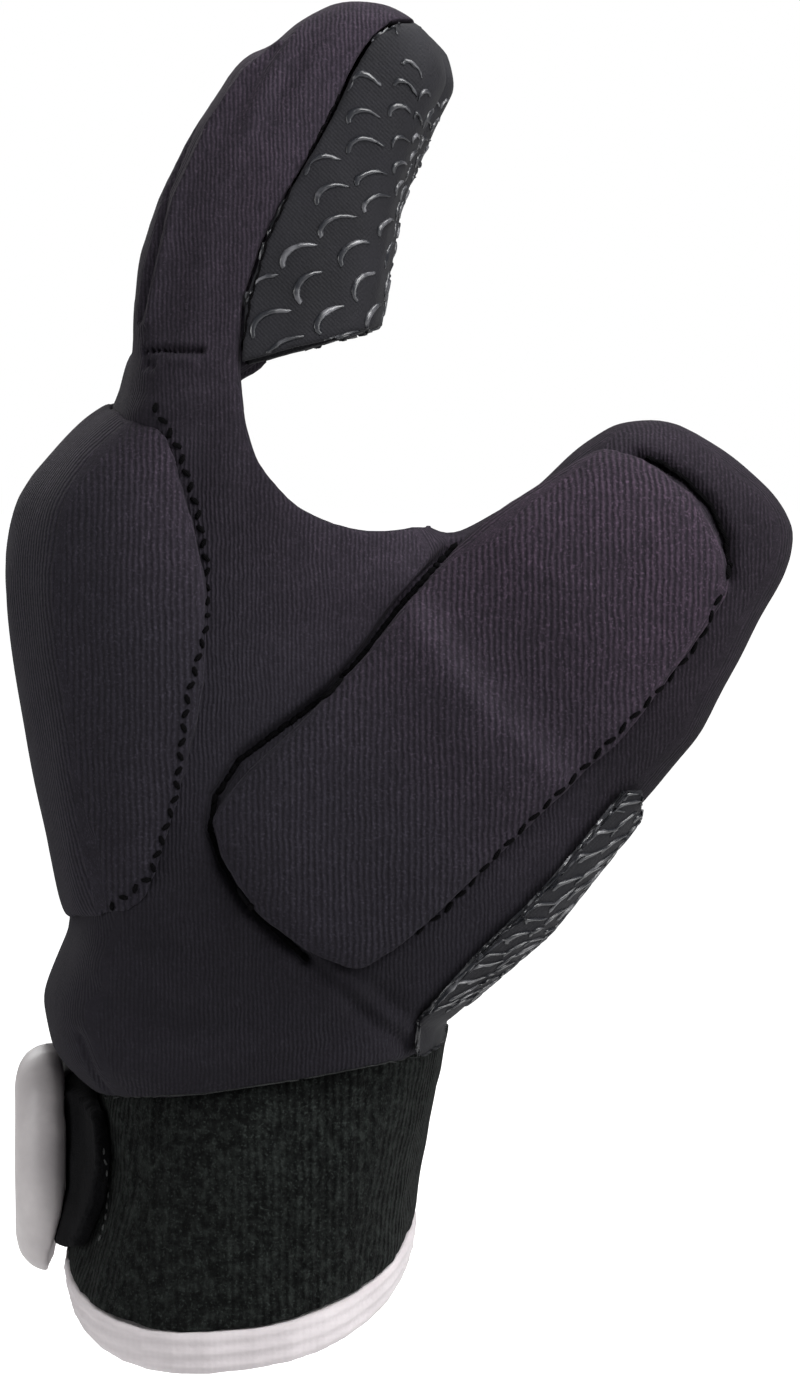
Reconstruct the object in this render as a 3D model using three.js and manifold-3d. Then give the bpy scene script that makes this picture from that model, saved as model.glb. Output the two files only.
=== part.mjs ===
// A field hockey glove for the left hand, with an open palm, in the curved shape that it has when worn.
// Millimetres. +Z runs from the wrist to the fingers, +X is the palm side and +Y the little finger's side.
// The origin is the middle of the wrist opening.

import * as THREE from 'three';
import { mergeVertices } from 'three/addons/utils/BufferGeometryUtils.js';
import Module from 'manifold-3d';

const wasm = await Module();
wasm.setup();

// Fabric, foam and gaps
const sewnGap = 0.3;            // between pieces that are sewn or glued together
const knitWall = 2.2;           // lined knit of the hand, thumb and fingers
const gripWall = 1.1;           // printed grip fabric on the heel of the hand
const thumbPadFoam = 5.6;
const thumbPadSlope = 0.62;     // share of that height lost towards its seam on the palm side
const foamBridge = 4;           // how far a stiff pad reaches over hollows
const foamReach = 1.5;          // half the distance over which its slope is taken
const foamSlope = 0.9;          // steepest slope that it follows
const fingerPadFoam = 2.9;
const padEdge = 1.3;            // height of a pad's sewn edge
const padSink = 0.8;            // how far a pad's underside reaches in before it is fitted to the hand
const thumbCrease = 2.2;        // depth of the flex crease across the thumb pad, from its low side to its ridge
const thumbCreasePlace = 0.1;   // its place on the pad's half length
const thumbCreaseWidth = 0.1;   // and its width, as a share of that
const fabricTop = 170;          // above every part of the hand's body
const farOut = 90;              // past every part of the glove

// Hand
const handSides = 30;
const handRoundness = 2.7;      // 2 is an ellipse, more is squarer
const webRoundness = 4;         // of the side that turns to the thumb
const fingerPitch = 22.4;
const cuffSeamHeight = 36.4;    // of the seam between hand and cuff on the axis
const cuffSeamSlope = 0.15;     // its rise towards the palm side
const knuckleHeight = 141;      // of the lower edge of the fingers' backs
const gripHemHeight = 138.4;    // of the lower edge of the fingers' grip fabric on the axis
const gripHemSlope = 0.27;      // its rise towards the palm side

// x of the back, of the widest place, of the palm and of the palm side at the thumb, and half the breadth
const handRows = [
  { z: 24, back: -20, side: 2, palm: 28.5, web: 28.5, half: 35.5 },
  { z: 33, back: -22.5, side: 2, palm: 29.4, web: 29.4, half: 37.5 },
  { z: 39, back: -28.2, side: 1, palm: 28.8, web: 28.8, half: 40 },
  { z: 47, back: -29.5, side: 0, palm: 28.6, web: 29.6, half: 42 },
  { z: 57, back: -25, side: -3, palm: 28, web: 33.4, half: 43.3 },
  { z: 70, back: -24.8, side: -6, palm: 22, web: 34.4, half: 44 },
  { z: 85, back: -25.5, side: -5.6, palm: 16, web: 34, half: 44 },
  { z: 100, back: -27.3, side: -2.8, palm: 10, web: 33, half: 44.5 },
  { z: 112, back: -28, side: -2.2, palm: 6, web: 34.5, half: 45 },
  { z: 120, back: -26, side: -3, palm: 2.4, web: 30, half: 45.2 },
  { z: 128, back: -21, side: -4.6, palm: -1.2, web: 12, half: 45.2 },
  { z: 135, back: -17.4, side: -6.5, palm: -2.6, web: 7, half: 45.2 },
  { z: 148, back: -14.5, side: -6, palm: -2.6, web: 7, half: 45.2 },
];

// Edge of the fabric between forefinger and thumb, seen from the side
const webEdge = [
  { x: 1.5, z: 136 },
  { x: 2.4, z: 130 },
  { x: 4.6, z: 124.4 },
  { x: 9.8, z: 118.8 },
  { x: 16.8, z: 116 },
  { x: 25, z: 115.8 },
  { x: 30.6, z: 117.6 },
];
const webSteps = 14;

const webSkew = 0.09;           // by which that edge lies further back towards the little finger
const webSkewStart = -45;       // y of the forefinger's side, where it starts
const webFarEdge = 20;          // and where it ends

// Palm opening, seen from the palm side
const palmOpening = { floor: 59, thumbEdge: -13, farEdge: 36.5, corner: 16, depth: 62 };
const palmWebCorner = { edge: -25, floor: 100, top: 113 };
const heelGripMargin = 1.5;     // between that opening and the grip fabric on the heel

// Edge of the grip fabric on the heel of the hand, seen from the side
const heelGripEdge = [
  { x: 25.5, z: 30 },
  { x: 26, z: 46 },
  { x: 34, z: 55.5 },
  { x: 44.5, z: 66 },
  { x: 55, z: 79 },
];
const heelGripReach = 57.6;     // x of its end at the thumb

// Thumb
const thumbSides = 24;
const thumbRoundness = 2.5;
const thumbLean = THREE.MathUtils.degToRad(40.5);   // of the thumb's axis from upright towards the palm
const thumbSeam = { web: { x: 30.2, z: 113.8 }, heel: { x: 60.4, z: 76.6 }, pastWeb: 8, pastHeel: 30 };
const thumbRows = [
  { x: 4, z: 47, y: -22, half: 14, deep: 14, tip: 0 },
  { x: 15.6, z: 57.9, y: -25.5, half: 18.4, deep: 17.2, tip: 0 },
  { x: 27.5, z: 72.6, y: -26.5, half: 21.7, deep: 17.8, tip: 0 },
  { x: 39.5, z: 88.1, y: -27, half: 21.9, deep: 17.2, tip: 0 },
  { x: 48.5, z: 100, y: -27.5, half: 22.8, deep: 15.6, tip: 0 },
  { x: 56.7, z: 108.2, y: -27.5, half: 19.2, deep: 14, tip: 0 },
  { x: 62.4, z: 115.8, y: -27.5, half: 17.5, deep: 13, tip: 0.4 },
  { x: 66.4, z: 120, y: -27.5, half: 16.2, deep: 11.8, tip: 0.9 },
  { x: 70.3, z: 123.1, y: -27.5, half: 12.6, deep: 9, tip: 1 },
  { x: 72.1, z: 124, y: -27.5, half: 6.6, deep: 4.6, tip: 1 },
];
const thumbTip = { x: 72.5, z: 124.4, y: -27.5 };

// Outline of the thumb pad: its middle, its direction and its width to the left and right of that line
const thumbPadMiddle = { x: 33.6, z: 91.4 };
const thumbPadLean = THREE.MathUtils.degToRad(47);
const thumbPadHalfLength = 42.3;
const thumbPadCorner = 0.45;    // roundness of its corners, from 0 to 1
const thumbPadRows = [
  { along: -42.3, left: 15.5, right: 18.5 },
  { along: -28, left: 16.2, right: 19.2 },
  { along: -13, left: 14.8, right: 17.8 },
  { along: 3, left: 17.4, right: 17.5 },
  { along: 14, left: 17.8, right: 17.8 },
  { along: 27, left: 16.3, right: 16 },
  { along: 42.3, left: 14.5, right: 13.5 },
];

// Pad on the back of the hand: half the angle that it covers round the hand, and its thickness
const backPadCorner = 0.36;
const backPadRows = [
  { z: 58.5, reach: 66, foam: 2 },
  { z: 65, reach: 82, foam: 3.4 },
  { z: 76, reach: 88.5, foam: 5 },
  { z: 90, reach: 89.5, foam: 6.4 },
  { z: 112, reach: 89.5, foam: 8.2 },
  { z: 120, reach: 89, foam: 7.2 },
  { z: 127, reach: 87, foam: 4.8 },
  { z: 133.5, reach: 79, foam: 1.6 },
];

// Forefinger from base to tip: back edge, palm edge, half the breadth, and where the seam lies between them
const fingerSides = 14;
const fingerSteps = 9;
const fingerRoundness = 3;
const fingerRows = [
  { backX: -12.4, backZ: 137.5, palmX: 20.4, palmZ: 139, half: 11, seam: 0.39 },
  { backX: -12, backZ: 148, palmX: 21.3, palmZ: 148.5, half: 11, seam: 0.42 },
  { backX: -9.6, backZ: 157.8, palmX: 22.7, palmZ: 156.5, half: 11, seam: 0.46 },
  { backX: -5.2, backZ: 167.5, palmX: 23.4, palmZ: 161.8, half: 10.9, seam: 0.51 },
  { backX: 0.2, backZ: 176.2, palmX: 24.6, palmZ: 165.6, half: 10.7, seam: 0.53 },
  { backX: 5.7, backZ: 183.9, palmX: 26, palmZ: 169.2, half: 10.5, seam: 0.5 },
  { backX: 13.2, backZ: 189.1, palmX: 27.4, palmZ: 172.6, half: 10, seam: 0.4 },
  { backX: 20.4, backZ: 189.4, palmX: 28.6, palmZ: 175.2, half: 9, seam: 0.25 },
  { backX: 25, backZ: 187, palmX: 30, palmZ: 178.4, half: 6.4, seam: 0.08 },
];
const fingerTip = { x: 29, z: 183.4 };
const fingerMouth = 4;          // by which a cut reaches past a finger's base
const seamOutside = 14;         // and past its back
const tipStart = 0.8;           // share of a finger's length where its end starts to close
const fingerPadStart = 0.03;
const fingerPadEnd = 0.6;
const fingerPadReach = 0.8;     // share of the finger's breadth that its pad covers
const fingerPadCorner = 0.25;

// Each finger: its place across the hand, its length beside the forefinger's, how much more it curls,
// and how much higher the hem of its grip fabric is
const fingers = [
  { name: 'index', place: -1.5, length: 1, curl: 0, breadth: 1, hem: 0 },
  { name: 'middle', place: -0.5, length: 1.03, curl: 0.5, breadth: 1, hem: 1.2 },
  { name: 'ring', place: 0.5, length: 0.98, curl: 0.8, breadth: 1, hem: 1.6 },
  { name: 'little', place: 1.5, length: 0.84, curl: 1.5, breadth: 0.98, hem: 2 },
];

// Cuff
const cuffSides = 34;
const cuffRoundness = 2.35;
const cuffWall = 2.4;
const cuffRows = [
  { rise: 1, back: -21.4, palm: 30.6, half: 36.6 },
  { rise: 0.55, back: -22.3, palm: 28, half: 36.4 },
  { rise: 0.2, back: -24.8, palm: 26.2, half: 36.9 },
  { rise: 0, back: -26.4, palm: 25.6, half: 37.5 },
];
const rimHeight = 10.6;         // of the knit's lower edge where it is neither raised nor lowered
const rimRise = 2.6;            // by which the edge is higher at the palm and lower at the back
const rimDip = 8.4;             // by which it hangs lower at both sides
const bindingHeight = 6.2;
const bindingWall = 2.6;
const bindingRibs = 3;
const bindingRibDepth = 0.5;
const bindingTuck = 1.2;        // by which its lower edge turns in

// Strap round the back of the cuff, and the tab on it
const strapWall = 2.2;
const strapHeight = 20.5;       // of its middle
const strapHalfWidth = 11.2;
const strapNearReach = 35;      // degrees from the middle of the back to its rounded end
const strapFarReach = 84;       // degrees to its sewn end
const strapCorner = 0.6;        // roundness of its free end, from 0 to 1
const strapStack = { x: -27.6, flat: 9, end: 16 };     // outer face of its layers behind the tab, and how far they reach
const tabHeight = 21;
const tabHalfLength = 17.2;
const tabHalfWidth = 12.5;
const tabSides = 20;
const tabRoundness = 3;
const tabBend = 26;             // radius to which the tab is bent round the wrist
const tabArch = 120;            // radius to which it is bent from end to end
const tabRows = [
  { x: -28, inset: 1.8 },
  { x: -29.2, inset: 0.5 },
  { x: -31, inset: 0 },
  { x: -33.2, inset: 0.9 },
  { x: -34.6, inset: 2.8 },
  { x: -34.9, inset: 5.5 },
];

const knit = { color: 0x2c2830, roughness: 0.95, metalness: 0 };
const padKnit = { color: 0x322d36, roughness: 0.95, metalness: 0 };
const gripFabric = { color: 0x303036, roughness: 0.6, metalness: 0 };
const cuffKnit = { color: 0x1c1f1d, roughness: 0.95, metalness: 0 };
const elastic = { color: 0xc8c0c4, roughness: 0.8, metalness: 0 };
const strapWeb = { color: 0x232325, roughness: 0.9, metalness: 0 };
const paleRubber = { color: 0xb8b2b5, roughness: 0.55, metalness: 0 };

const up = new THREE.Vector3(0, 0, 1);
const across = new THREE.Vector3(0, 1, 0);

function power(value, roundness) {
  return Math.sign(value) * Math.abs(value) ** (2 / roundness);
}

function tableValue(rows, key, column, at) {
  const last = rows.length - 1;
  let row = 0;
  while (row < last - 1 && at > rows[row + 1][key]) row += 1;
  const share = (at - rows[row][key]) / (rows[row + 1][key] - rows[row][key]);
  return THREE.MathUtils.lerp(rows[row][column], rows[row + 1][column], THREE.MathUtils.clamp(share, 0, 1));
}

// Closed bodies

function closedGeometry(points, triangles) {
  const geometry = new THREE.BufferGeometry();
  geometry.setAttribute('position', new THREE.Float32BufferAttribute(points.flatMap((p) => p.toArray()), 3));
  let volume = 0;
  for (let i = 0; i < triangles.length; i += 3) {
    const [a, b, c] = [0, 1, 2].map((k) => points[triangles[i + k]]);
    volume += a.dot(b.clone().cross(c));
  }
  geometry.setIndex(volume < 0 ? triangles.slice().reverse() : triangles);
  return geometry;
}

// Rings of points joined side to side. wrapRings also joins the last ring to the first, as on a hoop;
// otherwise each end closes on a point, which is the ring's middle where none is given.
function loft(rings, { startPoint, endPoint, wrapRings = false } = {}) {
  const sides = rings[0].length;
  const points = rings.flat();
  const triangles = [];
  const steps = wrapRings ? rings.length : rings.length - 1;
  for (let i = 0; i < steps; i += 1) {
    const low = i * sides;
    const high = ((i + 1) % rings.length) * sides;
    for (let k = 0; k < sides; k += 1) {
      const next = (k + 1) % sides;
      triangles.push(low + k, low + next, high + next, low + k, high + next, high + k);
    }
  }
  if (!wrapRings) {
    const middle = (ring) => ring.reduce((sum, p) => sum.add(p), new THREE.Vector3()).divideScalar(sides);
    points.push(startPoint ?? middle(rings[0]), endPoint ?? middle(rings[rings.length - 1]));
    const top = (rings.length - 1) * sides;
    for (let k = 0; k < sides; k += 1) {
      const next = (k + 1) % sides;
      triangles.push(next, k, points.length - 2, top + k, top + next, points.length - 1);
    }
  }
  return closedGeometry(points, triangles);
}

// A sheet between two grids of points, closed all round its edge
function sheet(outer, inner) {
  const rows = outer.length;
  const columns = outer[0].length;
  const points = [...outer.flat(), ...inner.flat()];
  const offset = rows * columns;
  const at = (i, j) => i * columns + j;
  const triangles = [];
  for (let i = 0; i < rows - 1; i += 1) {
    for (let j = 0; j < columns - 1; j += 1) {
      const [a, b, c, d] = [at(i, j), at(i, j + 1), at(i + 1, j + 1), at(i + 1, j)];
      triangles.push(a, b, c, a, c, d);
      triangles.push(offset + a, offset + c, offset + b, offset + a, offset + d, offset + c);
    }
  }
  const edge = [];
  for (let j = 0; j < columns - 1; j += 1) edge.push(at(0, j));
  for (let i = 0; i < rows - 1; i += 1) edge.push(at(i, columns - 1));
  for (let j = columns - 1; j > 0; j -= 1) edge.push(at(rows - 1, j));
  for (let i = rows - 1; i > 0; i -= 1) edge.push(at(i, 0));
  edge.forEach((a, k) => {
    const b = edge[(k + 1) % edge.length];
    triangles.push(b, a, offset + a, b, offset + a, offset + b);
  });
  return closedGeometry(points, triangles);
}

function solidOf(geometry) {
  const bare = geometry.clone();
  bare.deleteAttribute('normal');
  bare.deleteAttribute('uv');
  const merged = mergeVertices(bare, 1e-4);
  return new wasm.Manifold(new wasm.Mesh({
    numProp: 3,
    vertProperties: new Float32Array(merged.attributes.position.array),
    triVerts: new Uint32Array(merged.index.array),
  }));
}

function geometryOf(solid) {
  const mesh = solid.getMesh();
  const geometry = new THREE.BufferGeometry();
  geometry.setAttribute('position', new THREE.BufferAttribute(mesh.vertProperties, 3));
  geometry.setIndex(new THREE.BufferAttribute(mesh.triVerts, 1));
  geometry.computeVertexNormals();
  return geometry;
}

// A cut leaves crumbs beside the piece itself, so the largest body is kept
function largest(solid) {
  return solid.decompose().reduce((best, body) => (body.volume() > best.volume() ? body : best));
}

// An outline in x and z, run across the glove
function sideBlock(outline, near = -farOut, far = farOut) {
  const shape = new THREE.Shape(outline.map(({ x, z }) => new THREE.Vector2(x, z)));
  const geometry = new THREE.ExtrudeGeometry(shape, { depth: far - near, bevelEnabled: false });
  geometry.rotateX(Math.PI / 2);
  geometry.translate(0, far, 0);
  return solidOf(geometry);
}

// Everything above a line z = height + slope * x
function above(height, slope) {
  const line = (x) => ({ x, z: height + slope * x });
  return sideBlock([line(-farOut), line(2 * farOut), { x: 2 * farOut, z: 400 }, { x: -farOut, z: 400 }]);
}

// The hand's body and the thumb, lift outside the knit's outer face

function handPoint(row, angle, lift) {
  const turnsToThumb = Math.cos(angle) > 0 && Math.sin(angle) < 0;
  const roundness = turnsToThumb ? webRoundness : handRoundness;
  const c = power(Math.cos(angle), roundness);
  const s = power(Math.sin(angle), roundness);
  const thumbSide = THREE.MathUtils.smoothstep(-Math.sin(angle), 0, 0.4);
  const palm = THREE.MathUtils.lerp(row.palm, row.web, thumbSide);
  const deep = c < 0 ? row.side - row.back : palm - row.side;
  return new THREE.Vector3(row.side + c * (deep + lift), s * (row.half + lift), row.z);
}

function handRowAt(z) {
  const row = { z };
  for (const column of ['back', 'side', 'palm', 'web', 'half']) {
    row[column] = tableValue(handRows, 'z', column, z);
  }
  return row;
}

function handBody(lift) {
  const angles = Array.from({ length: handSides }, (_, k) => (2 * Math.PI * k) / handSides);
  return solidOf(loft(handRows.map((row) => angles.map((angle) => handPoint(row, angle, lift)))));
}

const thumbAxis = new THREE.Vector3(Math.sin(thumbLean), 0, Math.cos(thumbLean));
const thumbLeft = new THREE.Vector3(-Math.cos(thumbLean), 0, Math.sin(thumbLean));

function thumbRing(row, lift) {
  return Array.from({ length: thumbSides }, (_, k) => {
    const angle = (2 * Math.PI * k) / thumbSides;
    return new THREE.Vector3(row.x, row.y, row.z)
      .addScaledVector(thumbAxis, lift * row.tip)
      .addScaledVector(thumbLeft, (row.half + lift) * power(Math.cos(angle), thumbRoundness))
      .addScaledVector(across, (row.deep + lift) * power(Math.sin(angle), thumbRoundness));
  });
}

function thumbBody(lift) {
  const endPoint = new THREE.Vector3(thumbTip.x, thumbTip.y, thumbTip.z).addScaledVector(thumbAxis, lift);
  return solidOf(loft(thumbRows.map((row) => thumbRing(row, lift)), { endPoint }));
}

const webLine = new THREE.CatmullRomCurve3(webEdge.map(({ x, z }) => new THREE.Vector3(x, 0, z)));
const webOpening = sideBlock([
  ...webLine.getPoints(webSteps),
  { x: 2 * farOut, z: webEdge[webEdge.length - 1].z },
  { x: 2 * farOut, z: fabricTop },
  { x: webEdge[0].x, z: fabricTop },
], -farOut, webFarEdge);
const webCut = webOpening.transform(new THREE.Matrix4().set(
  1, -webSkew, 0, webSkew * webSkewStart,
  0, 1, 0, 0,
  0, 0, 1, 0,
  0, 0, 0, 1,
).elements);

function wholeHand(lift) {
  return handBody(lift).subtract(webCut).add(thumbBody(lift));
}

function palmCut(margin) {
  const { floor, thumbEdge, farEdge, corner, depth } = palmOpening;
  const low = floor - margin;
  const left = thumbEdge - margin;
  const right = farEdge + margin;
  const shape = new THREE.Shape();
  shape.moveTo(palmWebCorner.edge - margin, fabricTop);
  shape.lineTo(palmWebCorner.edge - margin, palmWebCorner.top);
  shape.lineTo(left, palmWebCorner.floor);
  shape.lineTo(left, low + corner);
  shape.absarc(left + corner, low + corner, corner, Math.PI, 1.5 * Math.PI);
  shape.absarc(right - corner, low + corner, corner, 1.5 * Math.PI, 2 * Math.PI);
  shape.lineTo(right, fabricTop);
  const geometry = new THREE.ExtrudeGeometry(shape, { depth, bevelEnabled: false, curveSegments: 6 });
  // The shape's first axis becomes y, its second z, and its depth x
  geometry.applyMatrix4(new THREE.Matrix4().makeBasis(across, up, new THREE.Vector3(1, 0, 0)));
  return solidOf(geometry);
}

const handOuter = wholeHand(0);
const handInner = handBody(-knitWall).add(thumbBody(-knitWall));
const handClear = wholeHand(sewnGap);

// Everything past the seam between hand and thumb, moved by gap along the thumb
function beyondThumbSeam(gap) {
  const web = new THREE.Vector2(thumbSeam.web.x, thumbSeam.web.z);
  const heel = new THREE.Vector2(thumbSeam.heel.x, thumbSeam.heel.z);
  const along = web.clone().sub(heel).normalize();
  const shift = new THREE.Vector2(along.y, -along.x).multiplyScalar(gap);
  const top = web.addScaledVector(along, thumbSeam.pastWeb).add(shift);
  const bottom = heel.addScaledVector(along, -thumbSeam.pastHeel).add(shift);
  return sideBlock([
    { x: top.x, z: top.y },
    { x: bottom.x, z: bottom.y },
    { x: 2 * farOut, z: bottom.y },
    { x: 2 * farOut, z: fabricTop },
    { x: top.x, z: fabricTop },
  ]);
}

function makeHandShell() {
  return largest(handOuter.subtract(handInner)
    .intersect(above(cuffSeamHeight + sewnGap / 2, cuffSeamSlope))
    .subtract(above(knuckleHeight - sewnGap / 2, 0))
    .subtract(palmCut(0))
    .subtract(beyondThumbSeam(-sewnGap / 2)));
}

function makeThumbSleeve() {
  return largest(thumbBody(0).subtract(thumbBody(-knitWall)).intersect(beyondThumbSeam(sewnGap / 2)));
}

function makeHeelGrip() {
  const top = heelGripEdge[heelGripEdge.length - 1].z;
  const low = heelGripEdge[0].z;
  const region = sideBlock([...heelGripEdge, { x: heelGripReach, z: top }, { x: heelGripReach, z: low }]);
  return largest(wholeHand(sewnGap + gripWall).subtract(handClear)
    .intersect(region)
    .intersect(above(cuffSeamHeight + sewnGap, cuffSeamSlope))
    .subtract(palmCut(heelGripMargin))
    .subtract(beyondThumbSeam(-sewnGap)));
}

// Pads

// Places of a rounded square, and the foam's share of its full height there
function padGrid(longSteps, shortSteps, corner, place, height) {
  const outer = [];
  const inner = [];
  for (const a of longSteps) {
    const outerRow = [];
    const innerRow = [];
    for (const b of shortSteps) {
      const p = a * Math.sqrt(1 - (corner * b * b) / 2);
      const q = b * Math.sqrt(1 - (corner * a * a) / 2);
      const crown = Math.sqrt((1 - Math.abs(a) ** 5) * (1 - Math.abs(b) ** 4));
      const { point, normal } = place(p, q);
      outerRow.push(point.clone().addScaledVector(normal, height(p, q, crown)));
      innerRow.push(point.clone().addScaledVector(normal, -padSink));
    }
    outer.push(outerRow);
    inner.push(innerRow);
  }
  return solidOf(sheet(outer, inner));
}

function makeBackPad() {
  const low = backPadRows[0].z;
  const high = backPadRows[backPadRows.length - 1].z;
  const place = (p, q) => {
    const z = THREE.MathUtils.lerp(low, high, (p + 1) / 2);
    const reach = THREE.MathUtils.degToRad(tableValue(backPadRows, 'z', 'reach', z));
    const angle = Math.PI + q * reach;
    const point = handPoint(handRowAt(z), angle, 0);
    const below = handPoint(handRowAt(z - 2), angle, 0);
    const beside = handPoint(handRowAt(z), angle + 0.05, 0);
    const normal = beside.sub(point).cross(point.clone().sub(below)).normalize();
    return { point, normal };
  };
  const height = (p, q, crown) => {
    const foam = tableValue(backPadRows, 'z', 'foam', THREE.MathUtils.lerp(low, high, (p + 1) / 2));
    return padEdge + (foam - padEdge) * crown;
  };
  const longSteps = [-1, -0.94, -0.8, -0.5, -0.1, 0.3, 0.6, 0.82, 0.94, 1];
  const shortSteps = [-1, -0.95, -0.82, -0.6, -0.3, 0, 0.3, 0.6, 0.82, 0.95, 1];
  return padGrid(longSteps, shortSteps, backPadCorner, place, height).subtract(handClear);
}

function makeThumbPad() {
  const surface = new THREE.Mesh(geometryOf(handOuter), new THREE.MeshBasicMaterial({ side: THREE.DoubleSide }));
  const raycaster = new THREE.Raycaster();
  // Beside the thumb, where a ray passes it, the depth of the nearest place inwards is taken
  const rayDepth = (x, z, inwards) => {
    for (let pull = 0; pull < 1; pull += 0.04) {
      const start = new THREE.Vector3(x, 0, z).lerp(inwards, pull);
      raycaster.set(start.setY(-farOut), across);
      const [hit] = raycaster.intersectObject(surface);
      if (hit) return hit.point.y;
    }
    return 0;
  };
  // Foam bridges small hollows, so its depth is a mean over a patch
  const depthAt = (x, z, inwards) => {
    const patch = [[0, 0], [foamBridge, 0], [-foamBridge, 0], [0, foamBridge], [0, -foamBridge]];
    return patch.reduce((sum, [dx, dz]) => sum + rayDepth(x + dx, z + dz, inwards) / patch.length, 0);
  };
  const axis = new THREE.Vector3(Math.sin(thumbPadLean), 0, Math.cos(thumbPadLean));
  const left = new THREE.Vector3(-axis.z, 0, axis.x);
  const place = (p, q) => {
    const along = p * thumbPadHalfLength;
    const side = q * tableValue(thumbPadRows, 'along', q > 0 ? 'left' : 'right', along);
    const centre = new THREE.Vector3(thumbPadMiddle.x, 0, thumbPadMiddle.z).addScaledVector(axis, along);
    const spot = centre.clone().addScaledVector(left, side);
    const depth = (dx, dz) => depthAt(spot.x + dx, spot.z + dz, centre);
    const slopeX = (depth(foamReach, 0) - depth(-foamReach, 0)) / (2 * foamReach);
    const slopeZ = (depth(0, foamReach) - depth(0, -foamReach)) / (2 * foamReach);
    const limit = (slope) => THREE.MathUtils.clamp(slope, -foamSlope, foamSlope);
    return {
      point: spot.setY(depth(0, 0)),
      normal: new THREE.Vector3(limit(slopeX), -1, limit(slopeZ)).normalize(),
    };
  };
  const height = (p, q, crown) => {
    const beyond = (p - thumbCreasePlace) / thumbCreaseWidth;
    const crease = thumbCrease * beyond * Math.exp(0.5 - beyond ** 2 / 2);
    const slope = 1 - thumbPadSlope * THREE.MathUtils.smoothstep(-q, 0.1, 1);
    return padEdge + (thumbPadFoam - padEdge - crease) * crown * slope;
  };
  const longSteps = [-1, -0.93, -0.78, -0.5, -0.2, 0.02, 0.12, 0.22, 0.5, 0.78, 0.93, 1];
  const shortSteps = [-1, -0.9, -0.6, 0, 0.6, 0.9, 1];
  return padGrid(longSteps, shortSteps, thumbPadCorner, place, height).subtract(handClear);
}

// Fingers

function shapedFinger(finger) {
  const first = fingerRows[0];
  const bend = (x, z, share) => {
    const angle = THREE.MathUtils.degToRad(finger.curl) * share;
    const dx = (x - first.backX) * (1 + (finger.length - 1) * share);
    const dz = (z - first.backZ) * (1 + (finger.length - 1));
    return new THREE.Vector3(
      first.backX + dx * Math.cos(angle) + dz * Math.sin(angle),
      finger.place * fingerPitch,
      first.backZ - dx * Math.sin(angle) + dz * Math.cos(angle),
    );
  };
  const last = fingerRows.length - 1;
  const backLine = new THREE.CatmullRomCurve3(fingerRows.map((row, i) => bend(row.backX, row.backZ, i / last)));
  const palmLine = new THREE.CatmullRomCurve3(fingerRows.map((row, i) => bend(row.palmX, row.palmZ, i / last)));
  const column = (key, share) => {
    const at = share * last;
    const row = Math.min(Math.floor(at), last - 1);
    return THREE.MathUtils.lerp(fingerRows[row][key], fingerRows[row + 1][key], at - row);
  };
  const section = (share) => {
    const back = backLine.getPoint(share);
    const palm = palmLine.getPoint(share);
    const toBack = back.clone().sub(palm);
    const deep = toBack.length() / 2;
    toBack.normalize();
    return {
      middle: back.clone().add(palm).multiplyScalar(0.5),
      toBack,
      axis: across.clone().cross(toBack),
      deep,
      half: column('half', share) * finger.breadth,
      seam: back.clone().lerp(palm, column('seam', share)),
      closing: THREE.MathUtils.clamp((share - tipStart) / (1 - tipStart), 0, 1),
    };
  };
  return { section, tip: bend(fingerTip.x, fingerTip.z, 1) };
}

function fingerPoint(section, angle, lift) {
  return section.middle.clone()
    .addScaledVector(section.axis, lift * section.closing)
    .addScaledVector(section.toBack, (section.deep + lift) * power(Math.cos(angle), fingerRoundness))
    .addScaledVector(across, (section.half + lift) * power(Math.sin(angle), fingerRoundness));
}

function fingerBody(shape, lift, early) {
  const rings = [];
  for (let i = 0; i <= fingerSteps; i += 1) {
    const section = shape.section(i / fingerSteps);
    if (i === 0) section.middle.addScaledVector(section.axis, -early);
    rings.push(Array.from({ length: fingerSides }, (_, k) => (
      fingerPoint(section, (2 * Math.PI * k) / fingerSides, lift))));
  }
  const end = shape.section(1);
  return solidOf(loft(rings, { endPoint: shape.tip.clone().addScaledVector(end.axis, lift) }));
}

// Everything on the back's side of a finger's seam, moved by shift towards the palm
function backOfSeam(shape, shift) {
  const seamLine = [];
  const outerLine = [];
  for (let i = 0; i <= fingerSteps; i += 1) {
    const section = shape.section(i / fingerSteps);
    const seam = section.seam.clone().addScaledVector(section.toBack, -shift);
    const out = section.middle.clone().addScaledVector(section.toBack, section.deep + seamOutside);
    if (i === 0) [seam, out].forEach((point) => point.addScaledVector(section.axis, -2 * fingerMouth));
    seamLine.push({ x: seam.x, z: seam.z });
    outerLine.unshift({ x: out.x, z: out.z });
  }
  return sideBlock([...seamLine, ...outerLine]);
}

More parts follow.
